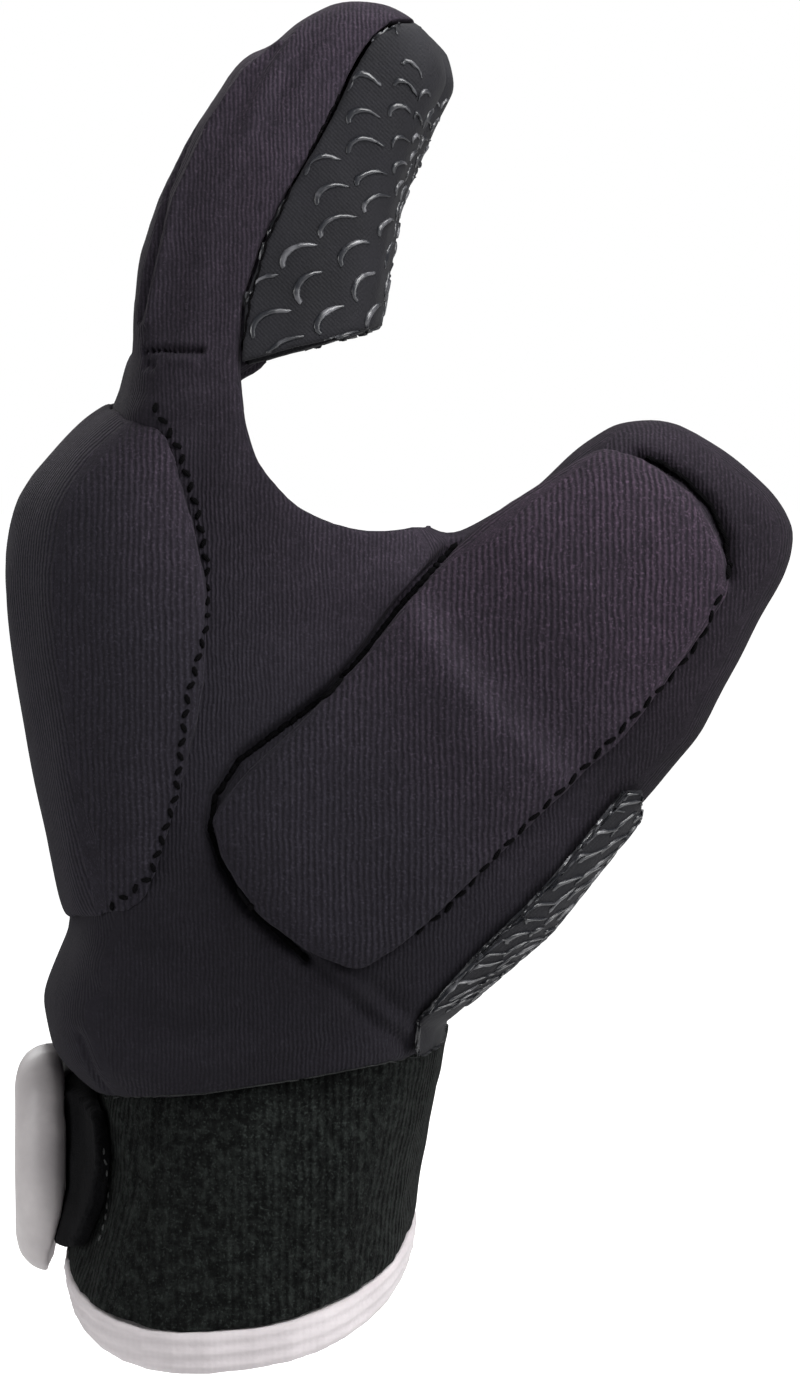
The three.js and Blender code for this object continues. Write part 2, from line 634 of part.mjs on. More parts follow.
function makeFinger(finger) {
  const shape = shapedFinger(finger);
  const wall = fingerBody(shape, 0, 0).subtract(fingerBody(shape, -knitWall, fingerMouth));
  const back = largest(wall.intersect(backOfSeam(shape, -sewnGap / 2))
    .intersect(above(knuckleHeight + sewnGap / 2, 0)));
  const grip = largest(wall.subtract(backOfSeam(shape, sewnGap / 2))
    .intersect(above(gripHemHeight + finger.hem, gripHemSlope)));
  const place = (p, q) => {
    const share = THREE.MathUtils.lerp(fingerPadStart, fingerPadEnd, (p + 1) / 2);
    const section = shape.section(share);
    const side = q * fingerPadReach;
    const angle = Math.asin(Math.sign(side) * Math.abs(side) ** (fingerRoundness / 2));
    return { point: fingerPoint(section, angle, 0), normal: section.toBack };
  };
  const height = (p, q, crown) => padEdge + (fingerPadFoam - padEdge) * crown;
  const longSteps = [-1, -0.88, -0.4, 0, 0.4, 0.88, 1];
  const shortSteps = [-1, -0.8, 0, 0.8, 1];
  const pad = largest(padGrid(longSteps, shortSteps, fingerPadCorner, place, height)
    .subtract(fingerBody(shape, sewnGap, 0))
    .intersect(above(knuckleHeight + sewnGap / 2, 0)));
  return { back, grip, pad };
}

// Cuff

function cuffPoint(row, angle, lift) {
  const middle = (row.back + row.palm) / 2;
  const deep = (row.palm - row.back) / 2;
  const c = power(Math.cos(angle), cuffRoundness);
  const s = power(Math.sin(angle), cuffRoundness);
  return new THREE.Vector3(middle + c * (deep + lift), s * (row.half + lift), 0);
}

function rimZ(angle) {
  const breadth = Math.abs(power(Math.sin(angle), cuffRoundness));
  return rimHeight + rimRise * power(Math.cos(angle), cuffRoundness) - rimDip * breadth ** 1.4;
}

function cuffRowAt(rise) {
  const rows = cuffRows.slice().reverse();
  const row = {};
  for (const column of ['back', 'palm', 'half']) row[column] = tableValue(rows, 'rise', column, rise);
  return row;
}

// A point of the cuff at a share of its height, lift outside its outer face
function onCuff(rise, angle, lift) {
  const point = cuffPoint(cuffRowAt(rise), angle, lift);
  const top = cuffSeamHeight - sewnGap / 2 + cuffSeamSlope * point.x;
  point.z = THREE.MathUtils.lerp(rimZ(angle) + sewnGap / 2, top, rise);
  return point;
}

function cuffAngles(count) {
  return Array.from({ length: count }, (_, k) => (2 * Math.PI * k) / count);
}

function makeCuff() {
  const rings = cuffAngles(cuffSides).map((angle) => [
    ...cuffRows.map(({ rise }) => onCuff(rise, angle, 0)),
    ...cuffRows.slice().reverse().map(({ rise }) => onCuff(rise, angle, -cuffWall)),
  ]);
  return solidOf(loft(rings, { wrapRings: true }));
}

function makeBinding() {
  const ribSteps = 2 * bindingRibs;
  const rings = cuffAngles(cuffSides).map((angle) => {
    const top = rimZ(angle) - sewnGap / 2;
    const section = [];
    for (let i = 0; i <= ribSteps; i += 1) {
      const share = i / ribSteps;
      const rib = i % 2 === 1 ? bindingRibDepth : 0;
      const tuck = bindingTuck * share * share;
      const point = cuffPoint(cuffRowAt(0), angle, rib - tuck);
      point.z = top - share * bindingHeight;
      section.push(point);
    }
    for (const share of [1, 0.5, 0]) {
      const point = cuffPoint(cuffRowAt(0), angle, -bindingWall - bindingTuck * share * share);
      point.z = top - share * bindingHeight;
      section.push(point);
    }
    return section;
  });
  return solidOf(loft(rings, { wrapRings: true }));
}

// All that the cuff's outer face encloses, lift outside that face, and as much again below its edge
function cuffBlock(lift) {
  const rises = [...cuffRows.map(({ rise }) => rise), -1];
  return solidOf(loft(rises.map((rise) => cuffAngles(cuffSides).map((angle) => onCuff(rise, angle, lift)))));
}

function strapPoint(p, q, lift) {
  const reach = p < 0 ? strapNearReach : strapFarReach;
  const angle = Math.PI - THREE.MathUtils.degToRad(p * reach);
  const z = strapHeight + q * strapHalfWidth;
  const top = onCuff(1, angle, 0).z;
  const rim = onCuff(0, angle, 0).z;
  return onCuff(THREE.MathUtils.clamp((z - rim) / (top - rim), 0, 1), angle, lift).setZ(z);
}

// The strap with its outer face lift outside the cuff, and its underside within the cuff
function strapBody(lift) {
  const longSteps = [-1, -0.93, -0.8, -0.65, -0.5, -0.35, -0.15, 0, 0.12, 0.2, 0.28, 0.4, 0.6, 0.8, 1];
  const shortSteps = [-1, -0.85, -0.3, 0.3, 0.85, 1];
  const grid = (height) => longSteps.map((a) => shortSteps.map((b) => {
    const corner = a < 0 ? strapCorner : 0;
    const p = a * Math.sqrt(1 - (corner * b * b) / 2);
    const q = b * Math.sqrt(1 - (corner * a * a) / 2);
    return strapPoint(p, q, height);
  }));
  const outer = grid(lift);
  for (const point of outer.flat()) {
    const stack = strapStack.x - (lift - sewnGap - strapWall) + (point.y * point.y) / (2 * tabBend);
    const share = 1 - THREE.MathUtils.smoothstep(Math.abs(point.y), strapStack.flat, strapStack.end);
    point.x = THREE.MathUtils.lerp(point.x, Math.min(point.x, stack), share);
  }
  return solidOf(sheet(outer, grid(-padSink)));
}

function makeStrap() {
  return strapBody(sewnGap + strapWall).subtract(cuffBlock(sewnGap)).subtract(handClear);
}

function makeTab() {
  const rings = tabRows.map(({ x, inset }) => cuffAngles(tabSides).map((angle) => {
    const y = (tabHalfWidth - inset) * power(Math.cos(angle), tabRoundness);
    const z = (tabHalfLength - inset) * power(Math.sin(angle), tabRoundness);
    const bend = (y * y) / (2 * tabBend) + (z * z) / (2 * tabArch);
    return new THREE.Vector3(x + bend, y, tabHeight + z);
  }));
  return solidOf(loft(rings))
    .subtract(cuffBlock(strapWall + 2 * sewnGap))
    .subtract(strapBody(strapWall + 2 * sewnGap))
    .subtract(handClear);
}

// The glove

const glove = new THREE.Group();

function addPiece(name, solid, finish) {
  const mesh = new THREE.Mesh(geometryOf(solid), new THREE.MeshStandardMaterial(finish));
  mesh.name = name;
  glove.add(mesh);
}

addPiece('hand_shell', makeHandShell(), knit);
addPiece('thumb_sleeve', makeThumbSleeve(), knit);
addPiece('heel_grip', makeHeelGrip(), gripFabric);
addPiece('back_pad', makeBackPad(), padKnit);
addPiece('thumb_pad', makeThumbPad(), padKnit);
for (const finger of fingers) {
  const { back, grip, pad } = makeFinger(finger);
  addPiece(`${finger.name}_back`, back, knit);
  addPiece(`${finger.name}_grip`, grip, gripFabric);
  addPiece(`${finger.name}_pad`, pad, padKnit);
}
addPiece('wrist_cuff', makeCuff(), cuffKnit);
addPiece('cuff_binding', makeBinding(), elastic);
addPiece('wrist_strap', makeStrap(), strapWeb);
addPiece('strap_tab', makeTab(), paleRubber);

export default glove;
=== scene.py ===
import math
import random

import bpy
import numpy as np
from mathutils import Matrix, Vector
from mathutils.bvhtree import BVHTree


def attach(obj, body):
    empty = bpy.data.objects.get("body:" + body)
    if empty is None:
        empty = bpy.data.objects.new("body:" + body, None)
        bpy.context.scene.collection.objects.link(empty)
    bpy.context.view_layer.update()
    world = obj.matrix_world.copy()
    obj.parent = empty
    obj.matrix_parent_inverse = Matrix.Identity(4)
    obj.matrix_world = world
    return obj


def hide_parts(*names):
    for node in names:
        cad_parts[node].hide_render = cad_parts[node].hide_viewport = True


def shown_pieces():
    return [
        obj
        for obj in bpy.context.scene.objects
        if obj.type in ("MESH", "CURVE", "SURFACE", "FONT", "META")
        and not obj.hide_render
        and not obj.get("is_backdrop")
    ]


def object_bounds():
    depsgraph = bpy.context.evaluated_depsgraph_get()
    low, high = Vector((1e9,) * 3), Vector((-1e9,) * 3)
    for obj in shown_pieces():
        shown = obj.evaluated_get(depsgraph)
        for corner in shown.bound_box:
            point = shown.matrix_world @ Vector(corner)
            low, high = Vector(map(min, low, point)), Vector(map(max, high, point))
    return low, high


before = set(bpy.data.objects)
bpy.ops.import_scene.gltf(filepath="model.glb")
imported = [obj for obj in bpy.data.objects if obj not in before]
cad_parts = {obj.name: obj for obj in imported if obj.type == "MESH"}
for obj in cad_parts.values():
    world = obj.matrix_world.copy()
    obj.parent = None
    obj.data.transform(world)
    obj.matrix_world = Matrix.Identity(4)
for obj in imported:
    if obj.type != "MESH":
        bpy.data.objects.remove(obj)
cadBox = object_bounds()
mm = 0.001
sewnGap = 0.3                   # between the model's solids
fingerNames = ["index", "middle", "ring", "little"]
print("frame loaded")


def addObject(name, data):
    made = bpy.data.objects.new(name, data)
    bpy.context.scene.collection.objects.link(made)
    return made


# Camera, lights and floor

cameraPlan = {
    "aim": (23.4, 0, 91.1),
    "distance": 650,
    "elevation": 3,
    "lens": 113.7,
    "film": 36,                 # height of the picture inside the camera
    "nearest": 10,              # nothing closer is shown
}


def cameraPlace(side=-1):       # on the thumb's side, or with side 1 its mirror image on the far side
    slope = math.radians(cameraPlan["elevation"])
    aim = Vector(cameraPlan["aim"]) * mm
    return aim + cameraPlan["distance"] * mm * Vector((0, side * math.cos(slope), math.sin(slope)))


def makeCamera():
    data = bpy.data.cameras.new("camera")
    data.sensor_fit = "VERTICAL"
    data.sensor_height = cameraPlan["film"]
    data.lens = cameraPlan["lens"]
    data.clip_start = cameraPlan["nearest"] * mm
    camera = addObject("camera", data)
    camera.location = cameraPlace()
    camera.rotation_euler = (math.pi / 2 - math.radians(cameraPlan["elevation"]), 0, 0)
    bpy.context.scene.camera = camera


lightAim = (20, 0, 95)
lightPlan = [
    # name, place, size, watts
    ("keyLight", (170, -270, 370), 220, 1.6),
    ("leftLight", (-560, -200, 120), 240, 1.3),
    ("rightLight", (560, -330, 200), 360, 2.2),
    ("topLight", (160, 60, 640), 380, 3.0),
    ("backLight", (-320, 560, 420), 420, 2.4),
]


def makeLights():
    for name, place, size, watts in lightPlan:
        data = bpy.data.lights.new(name, "AREA")
        data.size = size * mm
        data.energy = watts
        light = addObject(name, data)
        light.location = Vector(place) * mm
        towards = Vector(lightAim) * mm - light.location
        light.rotation_euler = towards.to_track_quat("-Z", "Y").to_euler()


roomPlan = {
    "light": 0.1,               # strength of the light that comes from all round
    "seen": 1.0,                # how bright the camera sees it
    "floorDrop": 60,            # under the glove
    "floorSize": 30000,
    "floorLight": 0.1,
    "floorSeen": 1.0,
}


def makeRoom():
    world = bpy.data.worlds.new("room")
    bpy.context.scene.world = world
    world.use_nodes = True
    nodes, links = world.node_tree.nodes, world.node_tree.links
    background = nodes["Background"]
    background.inputs["Color"].default_value = (1, 1, 1, 1)
    path = nodes.new("ShaderNodeLightPath")
    level = nodes.new("ShaderNodeMapRange")
    level.inputs["To Min"].default_value = roomPlan["light"]
    level.inputs["To Max"].default_value = roomPlan["seen"]
    links.new(path.outputs["Is Camera Ray"], level.inputs["Value"])
    links.new(level.outputs["Result"], background.inputs["Strength"])
    bpy.ops.object.select_all(action="DESELECT")
    height = cadBox[0][2] - roomPlan["floorDrop"] * mm
    bpy.ops.mesh.primitive_plane_add(size=roomPlan["floorSize"] * mm, location=(0, 0, height))
    bpy.ops.object.transform_apply(location=True)
    floor = bpy.context.object
    floor.name = "floor"
    floor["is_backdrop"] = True
    return floor


# Shader maths

class Wire:
    def __init__(self, finish, socket):
        self.finish = finish
        self.socket = socket

    def maths(self, operation, *others):
        values = dict(enumerate((self,) + others))
        return self.finish.node("ShaderNodeMath", {"operation": operation}, values)

    def __add__(self, other):
        return self.maths("ADD", other)

    __radd__ = __add__

    def __mul__(self, other):
        return self.maths("MULTIPLY", other)

    __rmul__ = __mul__

    def __sub__(self, other):
        return self.maths("SUBTRACT", other)

    def __rsub__(self, other):
        return self.finish.node("ShaderNodeMath", {"operation": "SUBTRACT"}, {0: other, 1: self})

    def sine(self):
        return self.maths("SINE")

    def ribs(self, pitch):      # 0 to 1 and back in each pitch
        return ((self * (2 * math.pi / pitch)).sine() + 1) * 0.5

    def clamped(self, low, high):
        values = {"Value": self, "From Min": low, "From Max": high}
        return self.finish.node("ShaderNodeMapRange", {"interpolation_type": "SMOOTHSTEP"}, values)


class Finish:
    def __init__(self, name, shader):
        self.material = bpy.data.materials.new(name)
        self.material.use_nodes = True
        self.nodes = self.material.node_tree.nodes
        self.links = self.material.node_tree.links
        self.shader = self.nodes["Principled BSDF"]
        self.put(self.shader, shader)
        self.place = self.node("ShaderNodeTexCoord", {}, {}, "Object")
        self.x, self.y, self.z = (part * 1000 for part in self.parts(self.place))

    def put(self, node, values):
        for key, value in values.items():
            if isinstance(value, Wire):
                self.links.new(value.socket, node.inputs[key])
            else:
                node.inputs[key].default_value = value

    def node(self, kind, settings, values, output=0):
        made = self.nodes.new(kind)
        for key, value in settings.items():
            setattr(made, key, value)
        self.put(made, values)
        return Wire(self, made.outputs[output])

    def parts(self, vector):
        return [self.node("ShaderNodeSeparateXYZ", {}, {0: vector}, k) for k in range(3)]

    def noise(self, size, detail=2, roughness=0.5):
        values = {"Vector": self.place, "Scale": 1000 / size, "Detail": detail, "Roughness": roughness}
        return self.node("ShaderNodeTexNoise", {}, values)

    def mix(self, factor, *colours):
        low, high = (colour if isinstance(colour, Wire) else (*colour, 1) for colour in colours)
        return self.node("ShaderNodeMix", {"data_type": "RGBA"}, {0: factor, 6: low, 7: high}, 2)

    def surface(self, colour, roughness, height, depth):
        bump = self.node("ShaderNodeBump", {}, {"Strength": 1, "Distance": depth * mm, "Height": height})
        self.put(self.shader, {"Base Color": colour, "Roughness": roughness, "Normal": bump})
        return self.material


facingBlend = 0.08              # where the ribs go over from one side's direction to the other's


def alongCloth(finish):         # a length round the glove: X on its two sides, Y on its back and palm
    x, y, _ = finish.parts(finish.node("ShaderNodeNewGeometry", {}, {}, "Normal"))
    turn = (x.maths("ABSOLUTE") - y.maths("ABSOLUTE")).clamped(-facingBlend, facingBlend)
    return finish.x + (finish.y - finish.x) * turn


yarnPlan = {
    # what is the same in every knit: the sizes of what is uneven in it, and where painted light makes it
    # lighter
    "shader": {"Roughness": 0.95, "Specular IOR Level": 0.1, "Sheen Weight": 0.012, "Sheen Roughness": 0.5},
    "drift": 9,                 # bends of the wales
    "waver": 1.6,
    "slant": 1.5,               # of the stitches, from wale to wale
    "lint": 0.42,
    "patches": 16,
    "smudges": 3.4,
    "specks": 0.36,
    "paintedLightSpan": (55, 125),          # painted light: lighter and warmer in x and z together, towards the tips of thumb and fingers
    "paintedLightDrift": 34,
    "paintedLightReach": 50,            # by which the painted light comes sooner or later
}

knitPlan = {
    # dark yarn, light yarn, its lighter and warmer tint that is painted light towards the upper right,
    # pitch of the wales and of the stitches, how much the ribs show, depth of the relief, bright specks,
    # and the flecks with their size, roughness and relief
    "handKnit": {
        "dark": (0.0095, 0.0085, 0.0115), "light": (0.028, 0.0258, 0.034), "warmPaintedLight": (0.056, 0.042, 0.060),
        "wale": 0.62, "stitch": 0.58, "ribs": 0.3, "depth": 0.14, "specks": 0.26,
        "flecks": 0.4, "fleckSize": 1.1, "fleckRoughness": 0.65, "fleckRelief": 0.3,
    },
    "padKnit": {
        "dark": (0.0095, 0.0085, 0.0115), "light": (0.0335, 0.0302, 0.041), "warmPaintedLight": (0.074, 0.050, 0.076),
        "wale": 0.86, "stitch": 0.74, "ribs": 0.38, "depth": 0.24, "specks": 0.4,
        "flecks": 0.4, "fleckSize": 1.1, "fleckRoughness": 0.65, "fleckRelief": 0.3,
    },
    "cuffKnit": {
        "dark": (0.0014, 0.0018, 0.0017), "light": (0.021, 0.025, 0.023), "warmPaintedLight": (0.025, 0.0265, 0.0255),
        "wale": 1.1, "stitch": 0.9, "ribs": 0.12, "depth": 0.42, "specks": 0.6,
        "flecks": 1.9, "fleckSize": 1.7, "fleckRoughness": 0.7, "fleckRelief": 1.6,
    },
}

paintedLightAndShadePlan = {
    # painted light and shade: x, z, radius of a paler or darker place of the knit, and by how much; on the
    # thumb pad a painted highlight along the crest of its flex ridge and painted shade in the hollow beyond
    # it
    "handKnit": [
        (24, 117, 11, 0.3),
        (13, 178, 11, 0.36),
        (0, 92, 15, 0.3),
        (3, 160, 14, 0.14),
        (6, 60, 16, -0.3),
        (68, 113, 11, -0.26),
        (62, 88, 11, -0.36),
    ],
    "padKnit": [
        (26, 101, 3, 0.14),
        (29.6, 95.4, 3, 0.18),
        (33.4, 90, 3, 0.22),
        (37.8, 85.8, 3, 0.2),
        (42.6, 81.6, 3, 0.16),
        (38, 97, 9, -0.1),
        (-12, 118, 16, 0.08),
    ],
    "cuffKnit": [(10, 30, 6, 0.1)],
}


def paintedLightAndShadeOf(finish, places):
    paintedLightAndShade = 1
    for x, z, radius, amount in places:
        dx, dz = finish.x - x, finish.z - z
        far = (dx * dx + dz * dz) * (1 / radius ** 2)
        paintedLightAndShade = paintedLightAndShade + (1 - far.clamped(0, 3)) * amount
    return paintedLightAndShade


def makeKnit(name):
    plan = knitPlan[name]
    finish = Finish(name, {"Base Color": (*plan["dark"], 1), **yarnPlan["shader"]})
    drift = finish.noise(yarnPlan["drift"], 1) - 0.5
    along = alongCloth(finish) + drift * 0.9 + finish.noise(yarnPlan["waver"]) * 0.5
    wale = along.ribs(plan["wale"])
    slant = (along * (math.pi / plan["wale"])).sine() * yarnPlan["slant"]
    stitches = ((finish.z * (2 * math.pi / plan["stitch"]) + slant).sine() + 1) * 0.5
    lint = finish.noise(yarnPlan["lint"], 2, 0.7)
    patches = finish.noise(yarnPlan["patches"], 3, 0.55)
    smudges = finish.noise(yarnPlan["smudges"], 2, 0.6)
    yarn = wale * (stitches * 0.2 + 0.8) * (smudges * 1.3 + 0.2)
    flecks = finish.noise(plan["fleckSize"], 3, plan["fleckRoughness"])
    specks = finish.noise(yarnPlan["specks"], 1).clamped(0.56, 0.74) * plan["specks"]
    fuzz = lint * 0.5 * (0.4 + patches * 0.7)
    share = yarn * plan["ribs"] + fuzz + (flecks - 0.47) * plan["flecks"] + specks
    # painted light: towards the upper right the light yarn is mixed towards a lighter, warmer tint, as if
    # lit from there
    paintedLightDrift = (finish.noise(yarnPlan["paintedLightDrift"]) - 0.5) * yarnPlan["paintedLightReach"]
    paintedLightShare = ((finish.x + finish.z) * 0.7 + paintedLightDrift).clamped(*yarnPlan["paintedLightSpan"])
    paintedLightTint = finish.mix(paintedLightShare, plan["light"], plan["warmPaintedLight"])
    colour = finish.mix(share.clamped(0, 1.1), plan["dark"], paintedLightTint)
    # painted light and shade: the knit is made paler or darker in the listed round places
    paintedLightAndShadeInputs = {"Value": paintedLightAndShadeOf(finish, paintedLightAndShadePlan[name]), "Color": colour}
    colour = finish.node("ShaderNodeHueSaturation", {}, paintedLightAndShadeInputs)
    relief = yarn * 0.8 + lint * 0.5 + flecks * plan["fleckRelief"]
    return finish.surface(colour, 0.88 + patches * 0.1, relief, plan["depth"])


gripFabricPlan = {
    "shader": {
        "Base Color": (0.03, 0.03, 0.036, 1), "Roughness": 0.7,
        "Specular IOR Level": 0.25, "Sheen Weight": 0.02,
    },
    "dark": (0.0042, 0.0042, 0.0058),
    "light": (0.0125, 0.0122, 0.0158),
    "weave": 0.62,
    "patches": 7,
    "fluff": 0.5,
    "depth": 0.12,
}


def makeGripFabric():
    plan = gripFabricPlan
    finish = Finish("gripFabric", plan["shader"])
    pace = 2 * math.pi / plan["weave"]
    weave = ((alongCloth(finish) * pace).sine() * (finish.z * pace).sine() + 1) * 0.5
    patches = finish.noise(plan["patches"], 3)
    colour = finish.mix((weave * 0.2 + patches * 0.8).clamped(0.1, 0.9), plan["dark"], plan["light"])
    relief = weave * 0.35 + finish.noise(plan["fluff"], 3) * 0.9
    return finish.surface(colour, 0.66 + patches * 0.2, relief, plan["depth"])


siliconePlan = {
    "shader": {
        "Base Color": (0.1, 0.1, 0.105, 1), "Roughness": 0.24,
        "Specular IOR Level": 0.6, "Coat Weight": 0.3, "Coat Roughness": 0.16,
    },
    # painted highlight: the lighter colour (new) stands for bright gloss on some crescents; the darker one
    # is the silicone's own
    "worn": (0.016, 0.017, 0.021),
    "new": (0.135, 0.135, 0.146),
    "patches": 4.5,
    "smears": 2,
    "grain": 0.6,
    "depth": 0.03,
}


def makeSilicone():
    plan = siliconePlan
    finish = Finish("silicone", plan["shader"])
    patches = finish.noise(plan["patches"], 3, 0.6)
    # painted highlight: crescents in some patches get the lighter colour
    colour = finish.mix(patches.clamped(0.47, 0.7), plan["worn"], plan["new"])
    roughness = 0.16 + finish.noise(plan["smears"]) * 0.3
    return finish.surface(colour, roughness, finish.noise(plan["grain"]), plan["depth"])


elasticPlan = {
    "shader": {
        "Base Color": (0.56, 0.52, 0.54, 1), "Roughness": 0.8,
        "Specular IOR Level": 0.25, "Sheen Weight": 0.15,
    },
    "soiled": (0.54, 0.50, 0.515),
    "clean": (0.68, 0.635, 0.65),
    "ribs": 0.9,
    "courses": 0.7,
    "soil": 14,
    "fluff": 0.5,
    "depth": 0.04,
}


def makeElastic():
    plan = elasticPlan
    finish = Finish("elastic", plan["shader"])
    ribs = alongCloth(finish).ribs(plan["ribs"])
    courses = finish.z.ribs(plan["courses"])
    soil = finish.noise(plan["soil"], 4, 0.6)
    share = (ribs * 0.04 + courses * 0.04 + soil * 0.92).clamped(0.2, 0.85)
    colour = finish.mix(share, plan["soiled"], plan["clean"])
    relief = ribs * 0.2 + courses * 0.1 + finish.noise(plan["fluff"]) * 0.8
    return finish.surface(colour, 0.72 + soil * 0.15, relief, plan["depth"])


strapWebPlan = {
    "shader": {"Base Color": (0.006, 0.006, 0.007, 1), "Roughness": 0.95, "Specular IOR Level": 0.06},
    "dark": (0.002, 0.002, 0.0025),
    "light": (0.011, 0.011, 0.012),
    "loops": 0.55,
    "patches": 5,
    "depth": 0.25,
}


def makeStrapWeb():
    plan = strapWebPlan
    finish = Finish("strapWeb", plan["shader"])
    loops = finish.noise(plan["loops"], 3, 0.75)
    patches = finish.noise(plan["patches"])
    colour = finish.mix((loops * 0.7 + patches * 0.3).clamped(0.25, 0.8), plan["dark"], plan["light"])
    return finish.surface(colour, 0.9 + patches * 0.08, loops, plan["depth"])


paleRubberPlan = {
    "shader": {"Base Color": (0.4, 0.37, 0.385, 1), "Roughness": 0.42, "Specular IOR Level": 0.45},
    "dark": (0.31, 0.285, 0.295),
    "light": (0.62, 0.585, 0.585),
    "paintedLightFrom": (-26, -34),    # painted light: in x, from where to where it gets lighter, its right side left in painted shade
    "clouds": 12,
    "grain": 0.7,
    "depth": 0.03,
}


def makePaleRubber():
    plan = paleRubberPlan
    finish = Finish("paleRubber", plan["shader"])
    clouds = finish.noise(plan["clouds"], 4, 0.6)
    grain = finish.noise(plan["grain"], 3, 0.6)
    # painted light: half of the mix is a gradient that lightens the tab towards its left side
    share = clouds.clamped(0.25, 0.8) * 0.5 + finish.x.clamped(*plan["paintedLightFrom"]) * 0.5
    colour = finish.mix(share, plan["dark"], plan["light"])
    return finish.surface(colour, 0.34 + clouds * 0.16 + grain * 0.06, grain, plan["depth"])


threadPlan = {
    "shader": {"Roughness": 0.9, "Specular IOR Level": 0.06},
    "colours": {
        # the dark thread is also the colour of the painted shade line in the groove between hand and thumb
        "darkThreadAndShade": (0.002, 0.0018, 0.0023),
        "paleThread": (0.042, 0.044, 0.044),
        "strapThread": (0.09, 0.093, 0.093),
    },
    "shade": 0.6,               # of the colour, between the strands
    "twist": 0.35,
    "patches": 1.5,
    "depth": 0.05,
}


def makeThread(name):
    plan = threadPlan
    light = plan["colours"][name]
    dark = tuple(value * plan["shade"] for value in light)
    finish = Finish(name, {"Base Color": (*light, 1), **plan["shader"]})
    twist = (finish.x + finish.y + finish.z).ribs(plan["twist"])
    patches = finish.noise(plan["patches"])
    colour = finish.mix((twist * 0.4 + patches * 0.6).clamped(0.1, 0.9), dark, light)
    return finish.surface(colour, 0.85 + patches * 0.1, twist, plan["depth"])


floorPaintPlan = {
    "shader": {"Base Color": (0.6, 0.6, 0.6, 1), "Roughness": 0.9, "Emission Strength": 1},
    "patches": 400,
}


def makeFloorPaint():
    finish = Finish("floorPaint", floorPaintPlan["shader"])
    seen = finish.node("ShaderNodeLightPath", {}, {}, "Is Camera Ray")
    low, high = ((roomPlan[key],) * 3 for key in ("floorLight", "floorSeen"))
    roughness = 0.85 + finish.noise(floorPaintPlan["patches"]) * 0.1
    finish.put(finish.shader, {"Emission Color": finish.mix(seen, low, high), "Roughness": roughness})
    return finish.material


# Working on meshes

def choose(*pieces):
    bpy.ops.object.select_all(action="DESELECT")
    for piece in pieces:
        piece.select_set(True)
    bpy.context.view_layer.objects.active = pieces[0]


def finishWith(piece, kind, **settings):
    choose(piece)
    modifier = piece.modifiers.new(kind, kind)
    for key, value in settings.items():
        setattr(modifier, key, value)
    bpy.ops.object.modifier_apply(modifier=modifier.name)


def smooth(piece, rounds, **settings):
    finishWith(piece, "SMOOTH", factor=0.5, iterations=rounds, **settings)


def smoothPartly(piece, name, share, steps, rounds):    # smooths each place by its share, in so many steps
    group = piece.vertex_groups.new(name=name)
    levels = np.round(share * steps).astype(int)
    for level in np.unique(levels[levels > 0]):
        group.add(np.flatnonzero(levels == level).tolist(), level / steps, "REPLACE")
    smooth(piece, rounds, vertex_group=name)


def copyOfNodes(name, *nodes):
    copies = [addObject(name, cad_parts[node].data.copy()) for node in nodes]
    choose(*copies)
    if len(copies) > 1:
        bpy.ops.object.join()
    piece = bpy.context.view_layer.objects.active
    piece.data.materials.clear()
    bpy.ops.object.mode_set(mode="EDIT")
    bpy.ops.mesh.select_all(action="SELECT")
    bpy.ops.mesh.remove_doubles(threshold=0.001 * mm)
    bpy.ops.object.mode_set(mode="OBJECT")
    piece.name = name
    return piece


def knitted(name, nodes, plan, webs=()):    # one fine even mesh over solids, with round edges
    piece = copyOfNodes(name, *nodes)
    if webs:
        choose(piece, *webs)
        bpy.ops.object.join()
    if "swell" in plan:
        finishWith(piece, "DISPLACE", strength=plan["swell"] * mm, mid_level=0)
    piece.data.remesh_voxel_size = plan["grain"] * mm
    piece.data.use_remesh_preserve_volume = True
    choose(piece)
    bpy.ops.object.voxel_remesh()
    smooth(piece, plan["rounds"])
    if "even" in plan:
        evenOut(piece, plan["even"], plan["grain"])
    return piece


def meshArrays(piece):
    mesh = piece.data
    places = np.empty(len(mesh.vertices) * 3, np.float32)
    normals = np.empty(len(mesh.vertices) * 3, np.float32)
    mesh.vertices.foreach_get("co", places)
    mesh.vertices.foreach_get("normal", normals)
    return places.reshape(-1, 3), normals.reshape(-1, 3)


def setPlaces(piece, places):
    piece.data.vertices.foreach_set("co", places.astype(np.float32).ravel())
    piece.data.update()


def pushOut(piece, height):     # moves each point along its normal by height(places in mm, normals)
    places, normals = meshArrays(piece)
    setPlaces(piece, places + normals * (height(places / mm, normals) * mm)[:, None])


def ringMean(values, ends):     # mean over each point's neighbours
    total = np.zeros_like(values)
    for here, there in ((0, 1), (1, 0)):
        for k in range(values.shape[1]):
            total[:, k] += np.bincount(ends[:, here], values[ends[:, there], k], len(values))
    return total / np.maximum(np.bincount(ends.ravel(), minlength=len(values)), 1)[:, None]


evenPlan = {
    "reach": 5,                 # rounds over which normals are compared, on a mesh of 1 mm
    "bent": 0.72,               # how alike they are at a rim or a fold
    "blend": 0.2,               # from there to an open face
    "least": 0.06,              # share of the smoothing that a rim gets
    "steps": 16,
}


def evenOut(piece, rounds, grain):      # takes flat facets out of the open faces, and spares rims and folds
    ends = np.empty(len(piece.data.edges) * 2, np.int32)
    piece.data.edges.foreach_get("vertices", ends)
    ends = ends.reshape(-1, 2)
    _, normals = meshArrays(piece)
    for _ in range(int(round(evenPlan["reach"] / grain ** 2))):
        normals = ringMean(normals, ends)
    alike = np.linalg.norm(normals, axis=1)
    share = np.clip((alike - evenPlan["bent"]) / evenPlan["blend"], evenPlan["least"], 1)
    smoothPartly(piece, "even", share, evenPlan["steps"], rounds)


